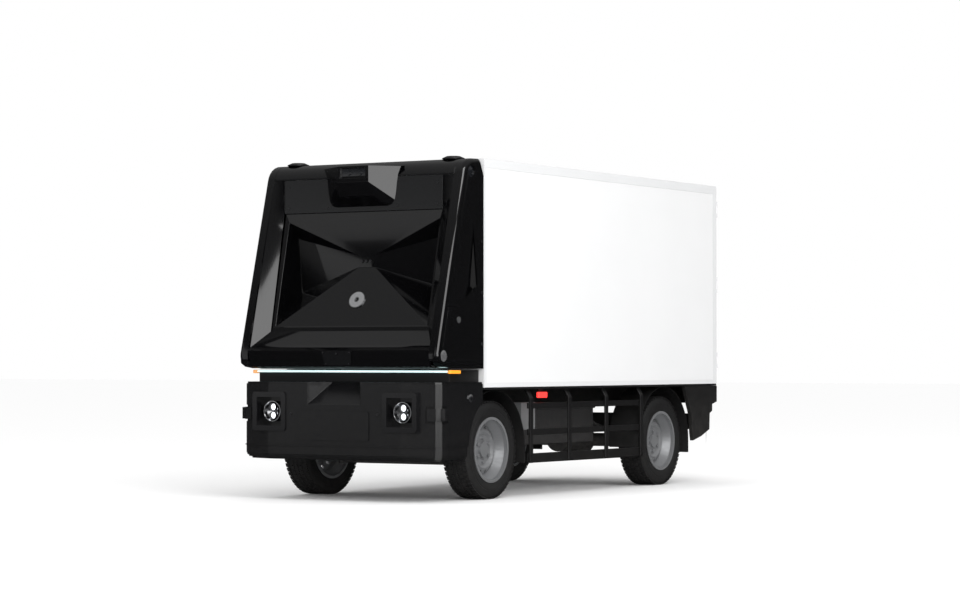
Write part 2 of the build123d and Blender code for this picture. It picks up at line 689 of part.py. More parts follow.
def roof_domes():
    base = ahead(306)
    dome = Pos(629, base, cab_top) * Cylinder(75, 8, align=(Align.CENTER, Align.CENTER, Align.MIN))
    cap = Pos(629, base, cab_top + 8) * Cone(72, 45, 12, align=(Align.CENTER, Align.CENTER, Align.MIN))
    return both(dome.fuse(cap))


def cab_frame():
    """Welded tube frame inside the front module, standing on the chassis rails."""
    t = 40.0
    y0, y1 = ahead(390), ahead(cab_back + 58)
    deck = 900.0
    wide = 724.0
    top = cab_top - 12
    pieces = []
    for y in (y0, y1 - t):
        pieces += both(block(rail_outer - rail_width, rail_outer - rail_width + t, y, y + t, rail_top, deck))
        pieces.append(block(-wide, wide, y, y + t, deck, deck + t))
    pieces += both(block(wide - t, wide, y0 + t, y1 - t, deck, deck + t))
    pieces += both(block(wide - t, wide, y1 - t, y1, deck + t, top))
    pieces.append(block(-wide + t, wide - t, y1 - t, y1, top - t, top))
    return pieces


def control_cabinet():
    """Vehicle computer and low voltage cabinet, on the frame behind the funnel panel."""
    case = block(-420, 420, ahead(270), ahead(cab_back + 60), 960, 1340)
    feet = both(block(380, 420, ahead(270), ahead(cab_back + 60), 940, 960))
    return fuse([case] + feet)


def light_bar():
    return block(-764, 764, ahead(596), ahead(571), 850, 864)


def corner_indicators():
    lens = [
        (764, ahead(596)), (784, ahead(612)), (798, ahead(596)), (799, ahead(485)), (780, ahead(485)),
        (780, ahead(560)), (764, ahead(575)),
    ]
    return both(plan_prism(lens, 843, 866))


def waist_panel():
    """Recessed band between the bumper and the front module."""
    low, high = bumper_top + 12, cab_bottom - 10
    outer = block(-764, 764, ahead(571), ahead(cab_back + 2), low, high)
    inner = block(-746, 746, ahead(553), ahead(cab_back - 40), low - 1, high + 1)
    ledge = block(-764, 764, ahead(571), ahead(520), high - 6, high)
    return (outer - inner).fuse(ledge & outer)


def bumper_plan(inset):
    """Plan outline of the bumper, (x, y), from the left rear corner round the front to the right."""
    half = [
        (530 - inset * 0.2, ahead(790 - inset)), (704 - inset * 0.6, ahead(737 - inset)),
        (752 - inset, ahead(722 - inset)), (784 - inset, ahead(690 - inset * 0.8)),
        (half_width - inset, ahead(650 - inset * 0.4)), (half_width - inset, ahead(212)),
    ]
    return half + [(-x, y) for x, y in reversed(half)]


def lamp_opening(side):
    x = side * headlight_x
    w, h = lamp_wide + 0.5, lamp_high + 0.5
    return block(x - w, x + w, ahead(800), ahead(700), headlight_z - h, headlight_z + h)


def bumper_cover():
    """Moulded bumper: faceted face, rounded corners, wheel openings, and openings for what it holds."""
    body = plan_prism(bumper_plan(0), bumper_lip, bumper_top)
    body = body - plan_prism(bumper_plan(bumper_skin), bumper_lip - 1, bumper_top - 8)
    deck = plan_prism(bumper_plan(6), bumper_top - 8, bumper_top + 12)
    body = body.fuse(deck)
    arch = rod((-1000, front_axle, tyre_radius), (1, 0, 0), arch_radius, 2000)
    body = body - arch - block(-1000, 1000, ahead(arch_radius), ahead(200), 0, tyre_radius)
    wheel_well = block(-half_width + 36, half_width - 36, ahead(470), ahead(200), bumper_top - 60, bumper_top + 13)
    body = body - wheel_well
    for side in (1, -1):
        body = body - lamp_opening(side)
    body = (body - scoop()).fuse(scoop_liner())
    channel = block(690, 900, ahead(800), ahead(640), 520, 630)
    body = body - (channel & plan_band()) - mirrored(channel & plan_band())
    for x in (-1, 1):
        for z in (-1, 1):
            body = body - rod((x * plate_bolts[0] / 2, ahead(800), plate_centre + z * plate_bolts[1] / 2),
                              (0, 1, 0), plate_bolt_hole, 40)
    return body


def plan_band():
    """The outer 5 mm of the bumper skin, where the corner modules sit in a shallow channel."""
    return plan_prism(bumper_plan(-20), 400, 700) - plan_prism(bumper_plan(5), 399, 701)


def scoop_size():
    """Half widths at foot and top, foot and top heights, and the front and deepest Y."""
    return 213, 104, 635, bumper_top + 13, ahead(791), ahead(650)


def scoop():
    """Wedge cut at the middle of the top edge: wide and shallow at its foot, narrow and deep at the top."""
    wide, narrow, low, high, front_y, deep = scoop_size()
    a, b = (wide, front_y, low), (-wide, front_y, low)
    c, d = (wide, front_y, high), (-wide, front_y, high)
    e, f = (narrow, deep, high), (-narrow, deep, high)
    faces = [[a, b, d, c], [a, c, e], [b, f, d], [a, e, f, b], [c, d, f, e]]
    return polyhedron(faces)


def scoop_liner():
    """Thin tray that forms the scoop's sloping floor and slanted walls."""
    wide, narrow, low, high, front_y, deep = scoop_size()
    t = 8.0
    floor_pts = [(wide, front_y + 14, low), (-wide, front_y + 14, low), (-narrow, deep + 14, high - 1),
                 (narrow, deep + 14, high - 1)]
    return facet(floor_pts, t)


def bumper_valance():
    """Lower lip: a thin proud trim line and the valance that rolls under it."""
    lip = plan_prism(bumper_plan(-6), bumper_lip - 6, bumper_lip)
    upper = plan_prism(bumper_plan(0), 318, bumper_lip - 6)
    roll = []
    steps = 4
    for k in range(steps):
        a0, a1 = k / steps, (k + 1) / steps
        z1 = 318 - (318 - bumper_low) * a0
        z0 = 318 - (318 - bumper_low) * a1
        inset = 60 * (1 - math.sqrt(1 - (a0 + a1) ** 2 / 4))
        roll.append(plan_prism(bumper_plan(inset), z0, z1))
    body = fuse([lip, upper] + roll)
    body = body - plan_prism(bumper_plan(bumper_skin + 40), bumper_low + 8, bumper_lip + 1)
    arch = rod((-1000, front_axle, tyre_radius), (1, 0, 0), arch_radius, 2000)
    return body - arch - block(-1000, 1000, ahead(arch_radius + 16), ahead(100), 0, bumper_lip + 1)


def headlight_bezels():
    """Square frame proud of the bumper, with a recessed cup behind it that holds the lamp."""
    x, z, w, h = headlight_x, headlight_z, lamp_wide, lamp_high
    y0 = ahead(800)
    outer = block(x - w - 33, x + w + 33, y0, ahead(781), z - h - 33, z + h + 33)
    outer = outer.fillet(22, outer.edges().filter_by(Axis.Y))
    hole = block(x - w + 2, x + w - 2, ahead(830), ahead(700), z - h + 2, z + h - 2)
    face_cut = plan_prism([(300, ahead(790)), (530, ahead(790)), (704, ahead(737)), (704, ahead(600)),
                           (300, ahead(600))], 400, 800)
    ring = outer - hole - face_cut
    wedge = plan_prism([(530, ahead(790)), (704, ahead(737)), (704, ahead(781)), (530, ahead(799))], 400, 800)
    cup = block(x - w, x + w, ahead(784), ahead(716), z - h, z + h) - hole
    back = block(x - w, x + w, ahead(716), ahead(708), z - h, z + h)
    outer_half = block(x, x + w + 33, ahead(800), ahead(700), z - h - 33, z + h + 33)
    side_fill = (wedge & outer_half) - hole
    return both(fuse([ring, cup, back, side_fill]))


def headlight_lamps():
    """Round lamp: chrome ring, and two stacked round light units with clear fronts."""
    x, z, face = headlight_x, headlight_z, ahead(716)
    body = rod((x, face, z), (0, -1, 0), 69, 44) - rod((x, ahead(752), z), (0, -1, 0), 62, 10)
    units = []
    for dz in (32, -32):
        body = body - rod((x, ahead(735), z + dz), (0, -1, 0), 28, 30)
        units += both(rod((x, ahead(735), z + dz), (0, -1, 0), 27.7, 20))
    return both(body) + units


def plate_holder():
    plate = block(-280, 280, ahead(798), ahead(bumper_face), 403, 594)
    plate = plate.fillet(16, plate.edges().filter_by(Axis.Y))
    for x in (-1, 1):
        for z in (-1, 1):
            plate = plate - rod((x * plate_bolts[0] / 2, ahead(800), plate_centre + z * plate_bolts[1] / 2),
                                (0, 1, 0), plate_bolt_hole, 20)
    return plate


def corner_radars():
    """Corner radar in a shallow channel round each bumper corner."""
    band = plan_prism(bumper_plan(-9), 534, 616) - plan_prism(bumper_plan(5), 533, 617)
    piece = band & block(700, 900, ahead(800), ahead(650), 500, 650)
    pod = plan_prism([(752, ahead(716)), (812, ahead(700)), (812, ahead(668)), (790, ahead(650)),
                      (752, ahead(690))], 536, 614)
    pod = pod - plan_prism(bumper_plan(5), 500, 700)
    return both(piece.fuse(pod))


def badge():
    """Plain round badge on the lower ramp of the funnel panel."""
    slope = math.atan2(199, 395)
    ring = Cylinder(58, 10) - Cylinder(18, 30)
    y = ahead(599 - 199 * (1335 - 1159) / 395)
    return Pos(0, y - 5.2 / math.cos(slope), 1335) * Rot(90 - math.degrees(slope), 0, 0) * ring


def tow_hatch():
    """Small cover low in the front face, held by four screws round a centre stud."""
    corners = ((-120, brow_z - 6), (120, brow_z - 6), (104, skirt_z + 6), (-104, skirt_z + 6))
    slope = (brow_y - skirt_y) / (brow_z - skirt_z)
    proud = 4.0
    return facet([(x, ahead(brow_y - slope * (brow_z - z)) - proud, z) for x, z in corners], proud)


def cab_screws():
    """Round head screws of the top band and the bumper face, and the bolts of the side panels."""
    heads = []
    for x, z in ((600, 2107), (601, 1962), (281, 1960)):
        heads += both(rod((x, ahead(455), z), (0, -1, 0), 7, 3))
    heads += both(rod((347, ahead(bumper_face), 575), (0, -1, 0), 8, 3))
    for z in (1040, 1378, 1718):
        heads += both(rod((half_width, ahead(227), z), (1, 0, 0), 9, 3))
    return heads


def main():
    os.makedirs("parts", exist_ok=True)
    corners = {"front_left": (1, front_axle), "front_right": (-1, front_axle),
               "rear_left": (1, rear_axle), "rear_right": (-1, rear_axle)}
    for name, (side, axle_y) in corners.items():
        save(f"tyre_{name}", tyre(side, axle_y))
        save(f"rim_{name}", rim(side, axle_y))
    for name, side in (("left", 1), ("right", -1)):
        save(f"knuckle_{name}", knuckle(side))
        save(f"side_guard_{name}", side_guard(side))
        save(f"box_side_{name}", box_side(side))
        save(f"rear_door_{name}", rear_door(side))
        save(f"door_lock_rod_{name}", door_lock_rod(side))
        save(f"cab_side_{name}", cab_side(side))
        save(f"service_hatch_{name}", service_hatch(side))
        save(f"hatch_latch_{name}", hatch_latch(side))
    single = {
        "tie_rod": tie_rod, "front_axle_beam": front_axle_beam, "rear_drive_axle": rear_drive_axle,
        "leaf_springs": leaf_springs, "chassis_rails": chassis_rails, "chassis_crossmembers": chassis_crossmembers,
        "battery_pack": battery_pack, "electrical_boxes": electrical_boxes, "wheel_liners": wheel_liners,
        "rear_bumper": rear_bumper, "red_lamps": red_lamps, "box_floor": box_floor,
        "box_roof": box_roof, "box_front_wall": box_front_wall,
        "box_trims": box_trims, "rear_door_frame": rear_door_frame, "cab_frame": cab_frame,
        "cab_roof": cab_roof,
        "front_frame": front_frame, "funnel_panel": funnel_panel, "top_band": top_band,
        "sensor_pod": sensor_pod, "cameras": cameras, "roof_domes": roof_domes,
        "light_bar": light_bar, "corner_indicators": corner_indicators, "waist_panel": waist_panel,
        "bumper_cover": bumper_cover, "bumper_valance": bumper_valance,
        "headlight_bezels": headlight_bezels, "headlight_lamps": headlight_lamps,
        "plate_holder": plate_holder, "corner_radars": corner_radars, "badge": badge,
        "tow_hatch": tow_hatch, "cab_screws": cab_screws,
    }
    for name, make in single.items():
        save(name, make())


main()
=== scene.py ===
import bmesh
import bpy
import json
import math
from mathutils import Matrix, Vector

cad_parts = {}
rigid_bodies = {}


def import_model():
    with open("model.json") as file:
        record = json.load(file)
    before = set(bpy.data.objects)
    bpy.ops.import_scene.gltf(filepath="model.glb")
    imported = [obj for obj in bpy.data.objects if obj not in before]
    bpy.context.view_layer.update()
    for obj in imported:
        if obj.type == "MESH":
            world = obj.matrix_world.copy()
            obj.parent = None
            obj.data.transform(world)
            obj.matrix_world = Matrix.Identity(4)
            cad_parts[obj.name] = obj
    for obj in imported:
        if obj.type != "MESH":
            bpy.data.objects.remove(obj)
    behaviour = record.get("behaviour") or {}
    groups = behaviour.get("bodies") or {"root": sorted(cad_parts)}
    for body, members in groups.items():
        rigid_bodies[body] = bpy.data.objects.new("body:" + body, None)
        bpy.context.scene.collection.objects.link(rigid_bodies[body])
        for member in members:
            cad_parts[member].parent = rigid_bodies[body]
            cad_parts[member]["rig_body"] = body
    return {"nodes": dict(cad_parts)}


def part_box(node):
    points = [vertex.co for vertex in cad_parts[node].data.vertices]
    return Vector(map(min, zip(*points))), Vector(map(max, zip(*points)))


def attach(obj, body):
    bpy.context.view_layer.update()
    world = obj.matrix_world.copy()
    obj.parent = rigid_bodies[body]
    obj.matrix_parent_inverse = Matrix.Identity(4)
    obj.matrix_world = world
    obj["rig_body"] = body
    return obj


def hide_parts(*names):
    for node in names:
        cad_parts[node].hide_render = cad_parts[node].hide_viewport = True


# Driverless electric mail truck: white cargo box, gloss black front module, black chassis.
# Metres. The front faces -Y, the vehicle's left is +X, Z is up and the ground is at zero.

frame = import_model()
nodes = frame["nodes"]
scene = bpy.context.scene
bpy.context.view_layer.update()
print("frame loaded:", len(nodes), "parts")

cornerNames = ["front_left", "front_right", "rear_left", "rear_right"]

# which parts of the frame wear which finish
finishOfParts = {
    "tyre_rubber": ["tyre_" + c for c in cornerNames],
    "rim_silver": ["rim_" + c for c in cornerNames],
    "forged_steel": ["knuckle_left", "knuckle_right", "tie_rod", "leaf_springs"],
    "guard_black": ["side_guard_left", "side_guard_right"],
    "box_white": ["box_side_left", "box_side_right", "rear_door_left", "rear_door_right", "box_roof",
                  "box_front_wall"],
    "trim_white": ["box_trims", "rear_door_frame"],
    "zinc_steel": ["door_lock_rod_left", "door_lock_rod_right", "hatch_latch_left", "hatch_latch_right"],
    "cab_gloss": ["cab_side_left", "cab_side_right", "service_hatch_left", "service_hatch_right", "cab_roof",
                  "front_frame", "funnel_panel", "sensor_pod"],
    "axle_grey": ["front_axle_beam", "rear_drive_axle"],
    "chassis_black": ["chassis_rails", "chassis_crossmembers", "cab_frame", "rear_bumper"],
    "battery_grey": ["battery_pack"],
    "cabinet_grey": ["electrical_boxes"],
    "liner_plastic": ["wheel_liners", "waist_panel"],
    "lamp_red": ["red_lamps"],
    "floor_board": ["box_floor"],
    "band_satin": ["top_band"],
    "lens_glass": ["cameras"],
    "antenna_black": ["roof_domes"],
    "light_cyan": ["light_bar"],
    "lamp_amber": ["corner_indicators"],
    "bumper_satin": ["bumper_cover", "bumper_valance", "plate_holder", "corner_radars", "tow_hatch"],
    "bezel_black": ["headlight_bezels"],
    "lamp_chrome": ["headlight_lamps"],
    "badge_silver": ["badge"],
    "screw_black": ["cab_screws"],
}
slotOf = {part: finish for finish, parts in finishOfParts.items() for part in parts}


# shader groups shared by several finishes
def newGroup(name, inputs, outputs):
    group = bpy.data.node_groups.new(name, "ShaderNodeTree")
    for label, kind, value in inputs:
        socket = group.interface.new_socket(label, in_out="INPUT", socket_type=kind)
        if value is not None:
            socket.default_value = value
    for label, kind in outputs:
        group.interface.new_socket(label, in_out="OUTPUT", socket_type=kind)
    return group, group.nodes.new("NodeGroupInput"), group.nodes.new("NodeGroupOutput")


def grainGroup():
    # moulded or sprayed texture: a fine grain with a slow change of shade under it
    group, given, made = newGroup("fineGrain", [
        ("Scale", "NodeSocketFloat", 900.0), ("Patch Scale", "NodeSocketFloat", 3.0),
        ("Base", "NodeSocketColor", (0.5, 0.5, 0.5, 1.0)), ("Shade Change", "NodeSocketFloat", 0.1),
        ("Roughness", "NodeSocketFloat", 0.5), ("Roughness Change", "NodeSocketFloat", 0.08)],
        [("Color", "NodeSocketColor"), ("Roughness", "NodeSocketFloat"), ("Height", "NodeSocketFloat")])
    add, link = group.nodes.new, group.links.new
    where = add("ShaderNodeTexCoord")
    grain = add("ShaderNodeTexNoise")
    grain.inputs["Detail"].default_value = 3.0
    patch = add("ShaderNodeTexNoise")
    patch.inputs["Detail"].default_value = 5.0
    for noise, size in ((grain, "Scale"), (patch, "Patch Scale")):
        link(where.outputs["Object"], noise.inputs["Vector"])
        link(given.outputs[size], noise.inputs["Scale"])
    centred = add("ShaderNodeMath")
    centred.operation = "SUBTRACT"
    centred.inputs[1].default_value = 0.5
    link(patch.outputs["Fac"], centred.inputs[0])
    shade = add("ShaderNodeMath")
    shade.operation = "MULTIPLY_ADD"
    shade.inputs[2].default_value = 1.0
    link(centred.outputs[0], shade.inputs[0])
    link(given.outputs["Shade Change"], shade.inputs[1])
    tint = add("ShaderNodeVectorMath")
    tint.operation = "SCALE"
    link(given.outputs["Base"], tint.inputs[0])
    link(shade.outputs[0], tint.inputs["Scale"])
    rough = add("ShaderNodeMath")
    rough.operation = "MULTIPLY_ADD"
    rough.use_clamp = True
    link(centred.outputs[0], rough.inputs[0])
    link(given.outputs["Roughness Change"], rough.inputs[1])
    link(given.outputs["Roughness"], rough.inputs[2])
    link(tint.outputs[0], made.inputs["Color"])
    link(rough.outputs[0], made.inputs["Roughness"])
    link(grain.outputs["Fac"], made.inputs["Height"])
    return group


def dustGroup():
    # road dust: heavier near the ground
    group, given, made = newGroup("roadDust", [
        ("Color", "NodeSocketColor", (0.1, 0.1, 0.1, 1.0)),
        ("Dust", "NodeSocketColor", (0.32, 0.3, 0.27, 1.0)),
        ("Amount", "NodeSocketFloat", 0.2), ("Top Height", "NodeSocketFloat", 0.9)],
        [("Color", "NodeSocketColor"), ("Mask", "NodeSocketFloat")])
    add, link = group.nodes.new, group.links.new
    where = add("ShaderNodeTexCoord")
    split = add("ShaderNodeSeparateXYZ")
    link(where.outputs["Object"], split.inputs[0])
    fall = add("ShaderNodeMapRange")
    fall.inputs["To Min"].default_value = 1.0
    fall.inputs["To Max"].default_value = 0.0
    link(split.outputs["Z"], fall.inputs["Value"])
    link(given.outputs["Top Height"], fall.inputs["From Max"])
    speck = add("ShaderNodeTexNoise")
    speck.inputs["Scale"].default_value = 22.0
    speck.inputs["Detail"].default_value = 8.0
    link(where.outputs["Object"], speck.inputs["Vector"])
    both = add("ShaderNodeMath")
    both.operation = "MULTIPLY"
    link(fall.outputs[0], both.inputs[0])
    link(speck.outputs["Fac"], both.inputs[1])
    mask = add("ShaderNodeMath")
    mask.operation = "MULTIPLY"
    mask.use_clamp = True
    link(both.outputs[0], mask.inputs[0])
    link(given.outputs["Amount"], mask.inputs[1])
    mix = add("ShaderNodeMix")
    mix.data_type = "RGBA"
    link(mask.outputs[0], mix.inputs["Factor"])
    link(given.outputs["Color"], mix.inputs[6])
    link(given.outputs["Dust"], mix.inputs[7])
    link(mix.outputs[2], made.inputs["Color"])
    link(mask.outputs[0], made.inputs["Mask"])
    return group


grainNodes = grainGroup()
dustNodes = dustGroup()

# base colour, roughness, metal, clear coat, grain size, grain depth in millimetres, shade change, dust,
# and the colour and power of the glow
finishLooks = {
    "tyre_rubber": dict(base=(0.0085, 0.0085, 0.009), rough=0.55, grainScale=700, depth=0.05, shade=0.5,
                        dust=0.05),
    "rim_silver": dict(base=(0.30, 0.305, 0.315), rough=0.42, metal=0.6, grainScale=1500, depth=0.02,
                       shade=0.16, dust=0.08),
    "forged_steel": dict(base=(0.075, 0.075, 0.078), rough=0.55, metal=0.5, grainScale=240, depth=0.3,
                         shade=0.5, dust=0.5),
    "guard_black": dict(base=(0.005, 0.005, 0.0055), rough=0.38, grainScale=1300, depth=0.08, shade=0.35,
                        dust=0.05),
    "box_white": dict(base=(0.735, 0.737, 0.74), rough=0.34, grainScale=160, depth=0.015, shade=0.03,
                      dust=0.02),
    "trim_white": dict(base=(0.66, 0.665, 0.67), rough=0.36, grainScale=900, depth=0.02, shade=0.05,
                       dust=0.03),
    "zinc_steel": dict(base=(0.45, 0.46, 0.47), rough=0.36, metal=0.95, grainScale=420, depth=0.04,
                       shade=0.35, dust=0.05),
    "cab_gloss": dict(base=(0.0016, 0.0016, 0.0019), rough=0.075, coat=0.3, grainScale=60, depth=0.003,
                      shade=0.3, dust=0.0),
    "axle_grey": dict(base=(0.05, 0.05, 0.052), rough=0.6, metal=0.4, grainScale=220, depth=0.35, shade=0.5,
                      dust=0.5),
    "chassis_black": dict(base=(0.005, 0.005, 0.0055), rough=0.5, grainScale=600, depth=0.12, shade=0.5,
                          dust=0.16),
    "battery_grey": dict(base=(0.028, 0.028, 0.03), rough=0.5, grainScale=500, depth=0.12, shade=0.4,
                         dust=0.22),
    "cabinet_grey": dict(base=(0.17, 0.175, 0.18), rough=0.42, grainScale=1200, depth=0.08, shade=0.15,
                         dust=0.2),
    "liner_plastic": dict(base=(0.0055, 0.0055, 0.006), rough=0.55, grainScale=500, depth=0.2, shade=0.5,
                          dust=0.06),
    "lamp_red": dict(base=(0.62, 0.01, 0.012), rough=0.12, coat=0.6, grainScale=80, depth=0.01, shade=0.15,
                     dust=0.0, glow=(1.0, 0.05, 0.04), power=1.6),
    "floor_board": dict(base=(0.09, 0.075, 0.06), rough=0.6, grainScale=300, depth=0.2, shade=0.5, dust=0.0),
    "band_satin": dict(base=(0.006, 0.0062, 0.0068), rough=0.22, grainScale=1500, depth=0.05, shade=0.2,
                       dust=0.0),
    "lens_glass": dict(base=(0.006, 0.0065, 0.008), rough=0.05, coat=0.9, grainScale=30, depth=0.0, shade=0.3,
                       dust=0.0),
    "antenna_black": dict(base=(0.008, 0.008, 0.009), rough=0.42, grainScale=900, depth=0.1, shade=0.2,
                          dust=0.0),
    "light_cyan": dict(base=(0.75, 0.93, 0.95), rough=0.25, grainScale=400, depth=0.01, shade=0.08, dust=0.0,
                       glow=(0.72, 0.98, 1.0), power=0.75),
    "lamp_amber": dict(base=(0.85, 0.3, 0.02), rough=0.14, coat=0.6, grainScale=120, depth=0.02, shade=0.12,
                       dust=0.0, glow=(1.0, 0.42, 0.05), power=0.35),
    "bumper_satin": dict(base=(0.0045, 0.0046, 0.0052), rough=0.24, grainScale=1500, depth=0.07, shade=0.25,
                         dust=0.03),
    "bezel_black": dict(base=(0.006, 0.006, 0.0066), rough=0.16, grainScale=1000, depth=0.02, shade=0.2,
                        dust=0.0),
    "lamp_chrome": dict(base=(0.72, 0.73, 0.75), rough=0.12, metal=1.0, grainScale=60, depth=0.004, shade=0.1,
                        dust=0.0),
    "lamp_lens": dict(base=(0.78, 0.8, 0.84), rough=0.06, coat=0.8, grainScale=60, depth=0.0, shade=0.25,
                      dust=0.0, glow=(0.93, 0.96, 1.0), power=1.3),
    "badge_silver": dict(base=(0.66, 0.665, 0.68), rough=0.24, metal=0.9, grainScale=900, depth=0.02,
                         shade=0.08, dust=0.0),
    "screw_black": dict(base=(0.05, 0.05, 0.053), rough=0.3, metal=0.8, grainScale=800, depth=0.05, shade=0.2,
                        dust=0.0),
}


finishShared = {"patchScale": 2.6, "roughnessShare": 0.35, "bumpStrength": 0.6, "depthUnit": 0.001,
                "coatRoughness": 0.03}


def makeFinish(name, base, rough, grainScale, depth, shade, dust=0.0, metal=0.0, coat=0.0, glow=None,
               power=0.0):
    material = bpy.data.materials.new(name)
    material.use_nodes = True
    tree = material.node_tree
    shader = tree.nodes["Principled BSDF"]
    feel = tree.nodes.new("ShaderNodeGroup")
    feel.node_tree = grainNodes
    for label, value in (("Scale", grainScale), ("Patch Scale", finishShared["patchScale"]),
                         ("Base", (*base, 1.0)), ("Shade Change", shade), ("Roughness", rough),
                         ("Roughness Change", finishShared["roughnessShare"] * rough)):
        feel.inputs[label].default_value = value
    colour = feel.outputs["Color"]
    if dust > 0:
        dirt = tree.nodes.new("ShaderNodeGroup")
        dirt.node_tree = dustNodes
        dirt.inputs["Amount"].default_value = dust
        tree.links.new(colour, dirt.inputs["Color"])
        colour = dirt.outputs["Color"]
    bump = tree.nodes.new("ShaderNodeBump")
    bump.inputs["Strength"].default_value = finishShared["bumpStrength"]
    bump.inputs["Distance"].default_value = finishShared["depthUnit"] * depth
    tree.links.new(colour, shader.inputs["Base Color"])
    tree.links.new(feel.outputs["Roughness"], shader.inputs["Roughness"])
    tree.links.new(feel.outputs["Height"], bump.inputs["Height"])
    tree.links.new(bump.outputs["Normal"], shader.inputs["Normal"])
    shader.inputs["Metallic"].default_value = metal
    shader.inputs["Coat Weight"].default_value = coat
    shader.inputs["Coat Roughness"].default_value = finishShared["coatRoughness"]
    if glow:
        shader.inputs["Emission Color"].default_value = (*glow, 1.0)
        shader.inputs["Emission Strength"].default_value = power
    return material


finishes = {name: makeFinish(name, **look) for name, look in finishLooks.items()}
for part, finishName in slotOf.items():
    nodes[part].data.materials.clear()
    nodes[part].data.materials.append(finishes[finishName])
print("finishes made:", len(finishes))


# making pieces
def newPiece(name, mesh, body, finishName, replaced=()):
    piece = bpy.data.objects.new(name, mesh)
    scene.collection.objects.link(piece)
    mesh.materials.clear()
    mesh.materials.append(finishes[finishName])
    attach(piece, body)
    # the lit lens has a look of its own, and the record's slot for it is the lens glass; the slot name below
    # is worked out but not used
    "lens_glass" if finishName == "lamp_lens" else finishName
    if replaced:
        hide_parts(*replaced)
    return piece


def smoothMesh(mesh, angle=32):
    for polygon in mesh.polygons:
        polygon.use_smooth = True
    mesh.set_sharp_from_angle(angle=math.radians(angle))
    return mesh


def finishedMesh(worker, name):
    # the worker's modifiers made plain
    bpy.context.view_layer.update()
    graph = bpy.context.evaluated_depsgraph_get()
    mesh = bpy.data.meshes.new_from_object(worker.evaluated_get(graph))
    mesh.name = name
    bpy.data.objects.remove(worker)
    return mesh


def roundedMesh(mesh, name, width, segments=2, angle=28, wall=0.0):
    # a wall behind the surface if one is asked for, then rounded edges with flat faces left flat
    smoothMesh(mesh, angle)
    worker = bpy.data.objects.new("worker", mesh)
    scene.collection.objects.link(worker)
    if wall > 0:
        thick = worker.modifiers.new("wall", "SOLIDIFY")
        thick.thickness = wall
        thick.offset = -1.0
        thick.use_even_offset = True
    bevel = worker.modifiers.new("roundEdges", "BEVEL")
    bevel.width = width
    bevel.segments = segments
    bevel.limit_method = "ANGLE"
    bevel.angle_limit = math.radians(angle)
    bevel.harden_normals = True
    bevel.use_clamp_overlap = True
    return finishedMesh(worker, name)


weldDistance, flatAngle = 2e-5, 0.6   # metres, and degrees below which two faces count as one


def softened(part, width, segments=2, angle=28):
    # the same shape with its edges rounded, as a moulding or a folded sheet has them
    mesh = nodes[part].data.copy()
    shape = bmesh.new()
    shape.from_mesh(mesh)
    bmesh.ops.remove_doubles(shape, verts=shape.verts, dist=weldDistance)
    bmesh.ops.dissolve_limit(shape, angle_limit=math.radians(flatAngle), verts=shape.verts, edges=shape.edges)
    shape.to_mesh(mesh)
    shape.free()
    made = roundedMesh(mesh, part + "Soft", width, segments, angle)
    return newPiece(part + "Soft", made, nodes[part]["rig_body"], slotOf[part], [part])


edgeRounding = {  # metres
    "bumper_cover": 0.006, "bumper_valance": 0.004, "plate_holder": 0.003, "corner_radars": 0.004,
    "tow_hatch": 0.0015,
    "top_band": 0.002, "rear_bumper": 0.003, "side_guard_left": 0.004, "side_guard_right": 0.004,
    "box_side_left": 0.0015, "box_side_right": 0.0015, "box_roof": 0.003, "box_front_wall": 0.003,
    "box_trims": 0.0009, "rear_door_frame": 0.002, "rear_door_left": 0.0025, "rear_door_right": 0.0025,
    "door_lock_rod_left": 0.002, "door_lock_rod_right": 0.002,
    "cab_side_left": 0.0025, "cab_side_right": 0.0025,
    "service_hatch_left": 0.002, "service_hatch_right": 0.002, "cab_roof": 0.002, "headlight_bezels": 0.003,
    "electrical_boxes": 0.006, "battery_pack": 0.006, "chassis_rails": 0.003, "wheel_liners": 0.0012,
    "waist_panel": 0.003, "corner_indicators": 0.003, "roof_domes": 0.002,
    "hatch_latch_left": 0.0008, "hatch_latch_right": 0.0008,
    "light_bar": 0.003, "red_lamps": 0.006, "rim_front_left": 0.0012,
    "rim_front_right": 0.0012, "rim_rear_left": 0.0012, "rim_rear_right": 0.0012,
}
# the smallest angle in degrees that is kept as an edge, for parts with shallow facets
flatFaced = {"bumper_cover": 11, "bumper_valance": 11, "corner_radars": 11, "headlight_bezels": 14}
for part, width in edgeRounding.items():
    softened(part, width, angle=flatFaced.get(part, 28))
print("edges rounded:", len(edgeRounding))


def spunMesh(name, place, outline, steps, weld=0.0):
    # a closed outline carried round a full turn, each point set by place(across, radius, angle)
    count = len(outline)
    verts = [place(across, radius, 2 * math.pi * step / steps)
             for step in range(steps) for across, radius in outline]
    faces = []
    for step in range(steps):
        here, after = step * count, (step + 1) % steps * count
        for k in range(count):
            following = (k + 1) % count
            faces.append((here + k, here + following, after + following, after + k))
    mesh = bpy.data.meshes.new(name)
    mesh.from_pydata(verts, [], faces)
    shape = bmesh.new()
    shape.from_mesh(mesh)
    if weld > 0:
        bmesh.ops.remove_doubles(shape, verts=shape.verts, dist=weld)
    bmesh.ops.recalc_face_normals(shape, faces=shape.faces)
    shape.to_mesh(mesh)
    shape.free()
    return mesh


def turned(name, profile, centre, side, body, finishName, replaced=(), steps=96):
    # an outline (across, radius) turned about the axle line through centre
    def place(across, radius, angle):
        return (centre[0] + side * across, centre[1] + radius * math.cos(angle),
                centre[2] + radius * math.sin(angle))

    mesh = spunMesh(name, place, profile, steps)
    return newPiece(name, smoothMesh(mesh, 38), body, finishName, replaced)


# front module: frame, funnel and sensor pod, as facets with rounded edges
axleY = sum(corner.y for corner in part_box("tyre_front_left")) / 2
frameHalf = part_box("front_frame")[1].x


def ahead(distance):
    return axleY - distance


def flipped(point):
    return (-point[0], point[1], point[2])


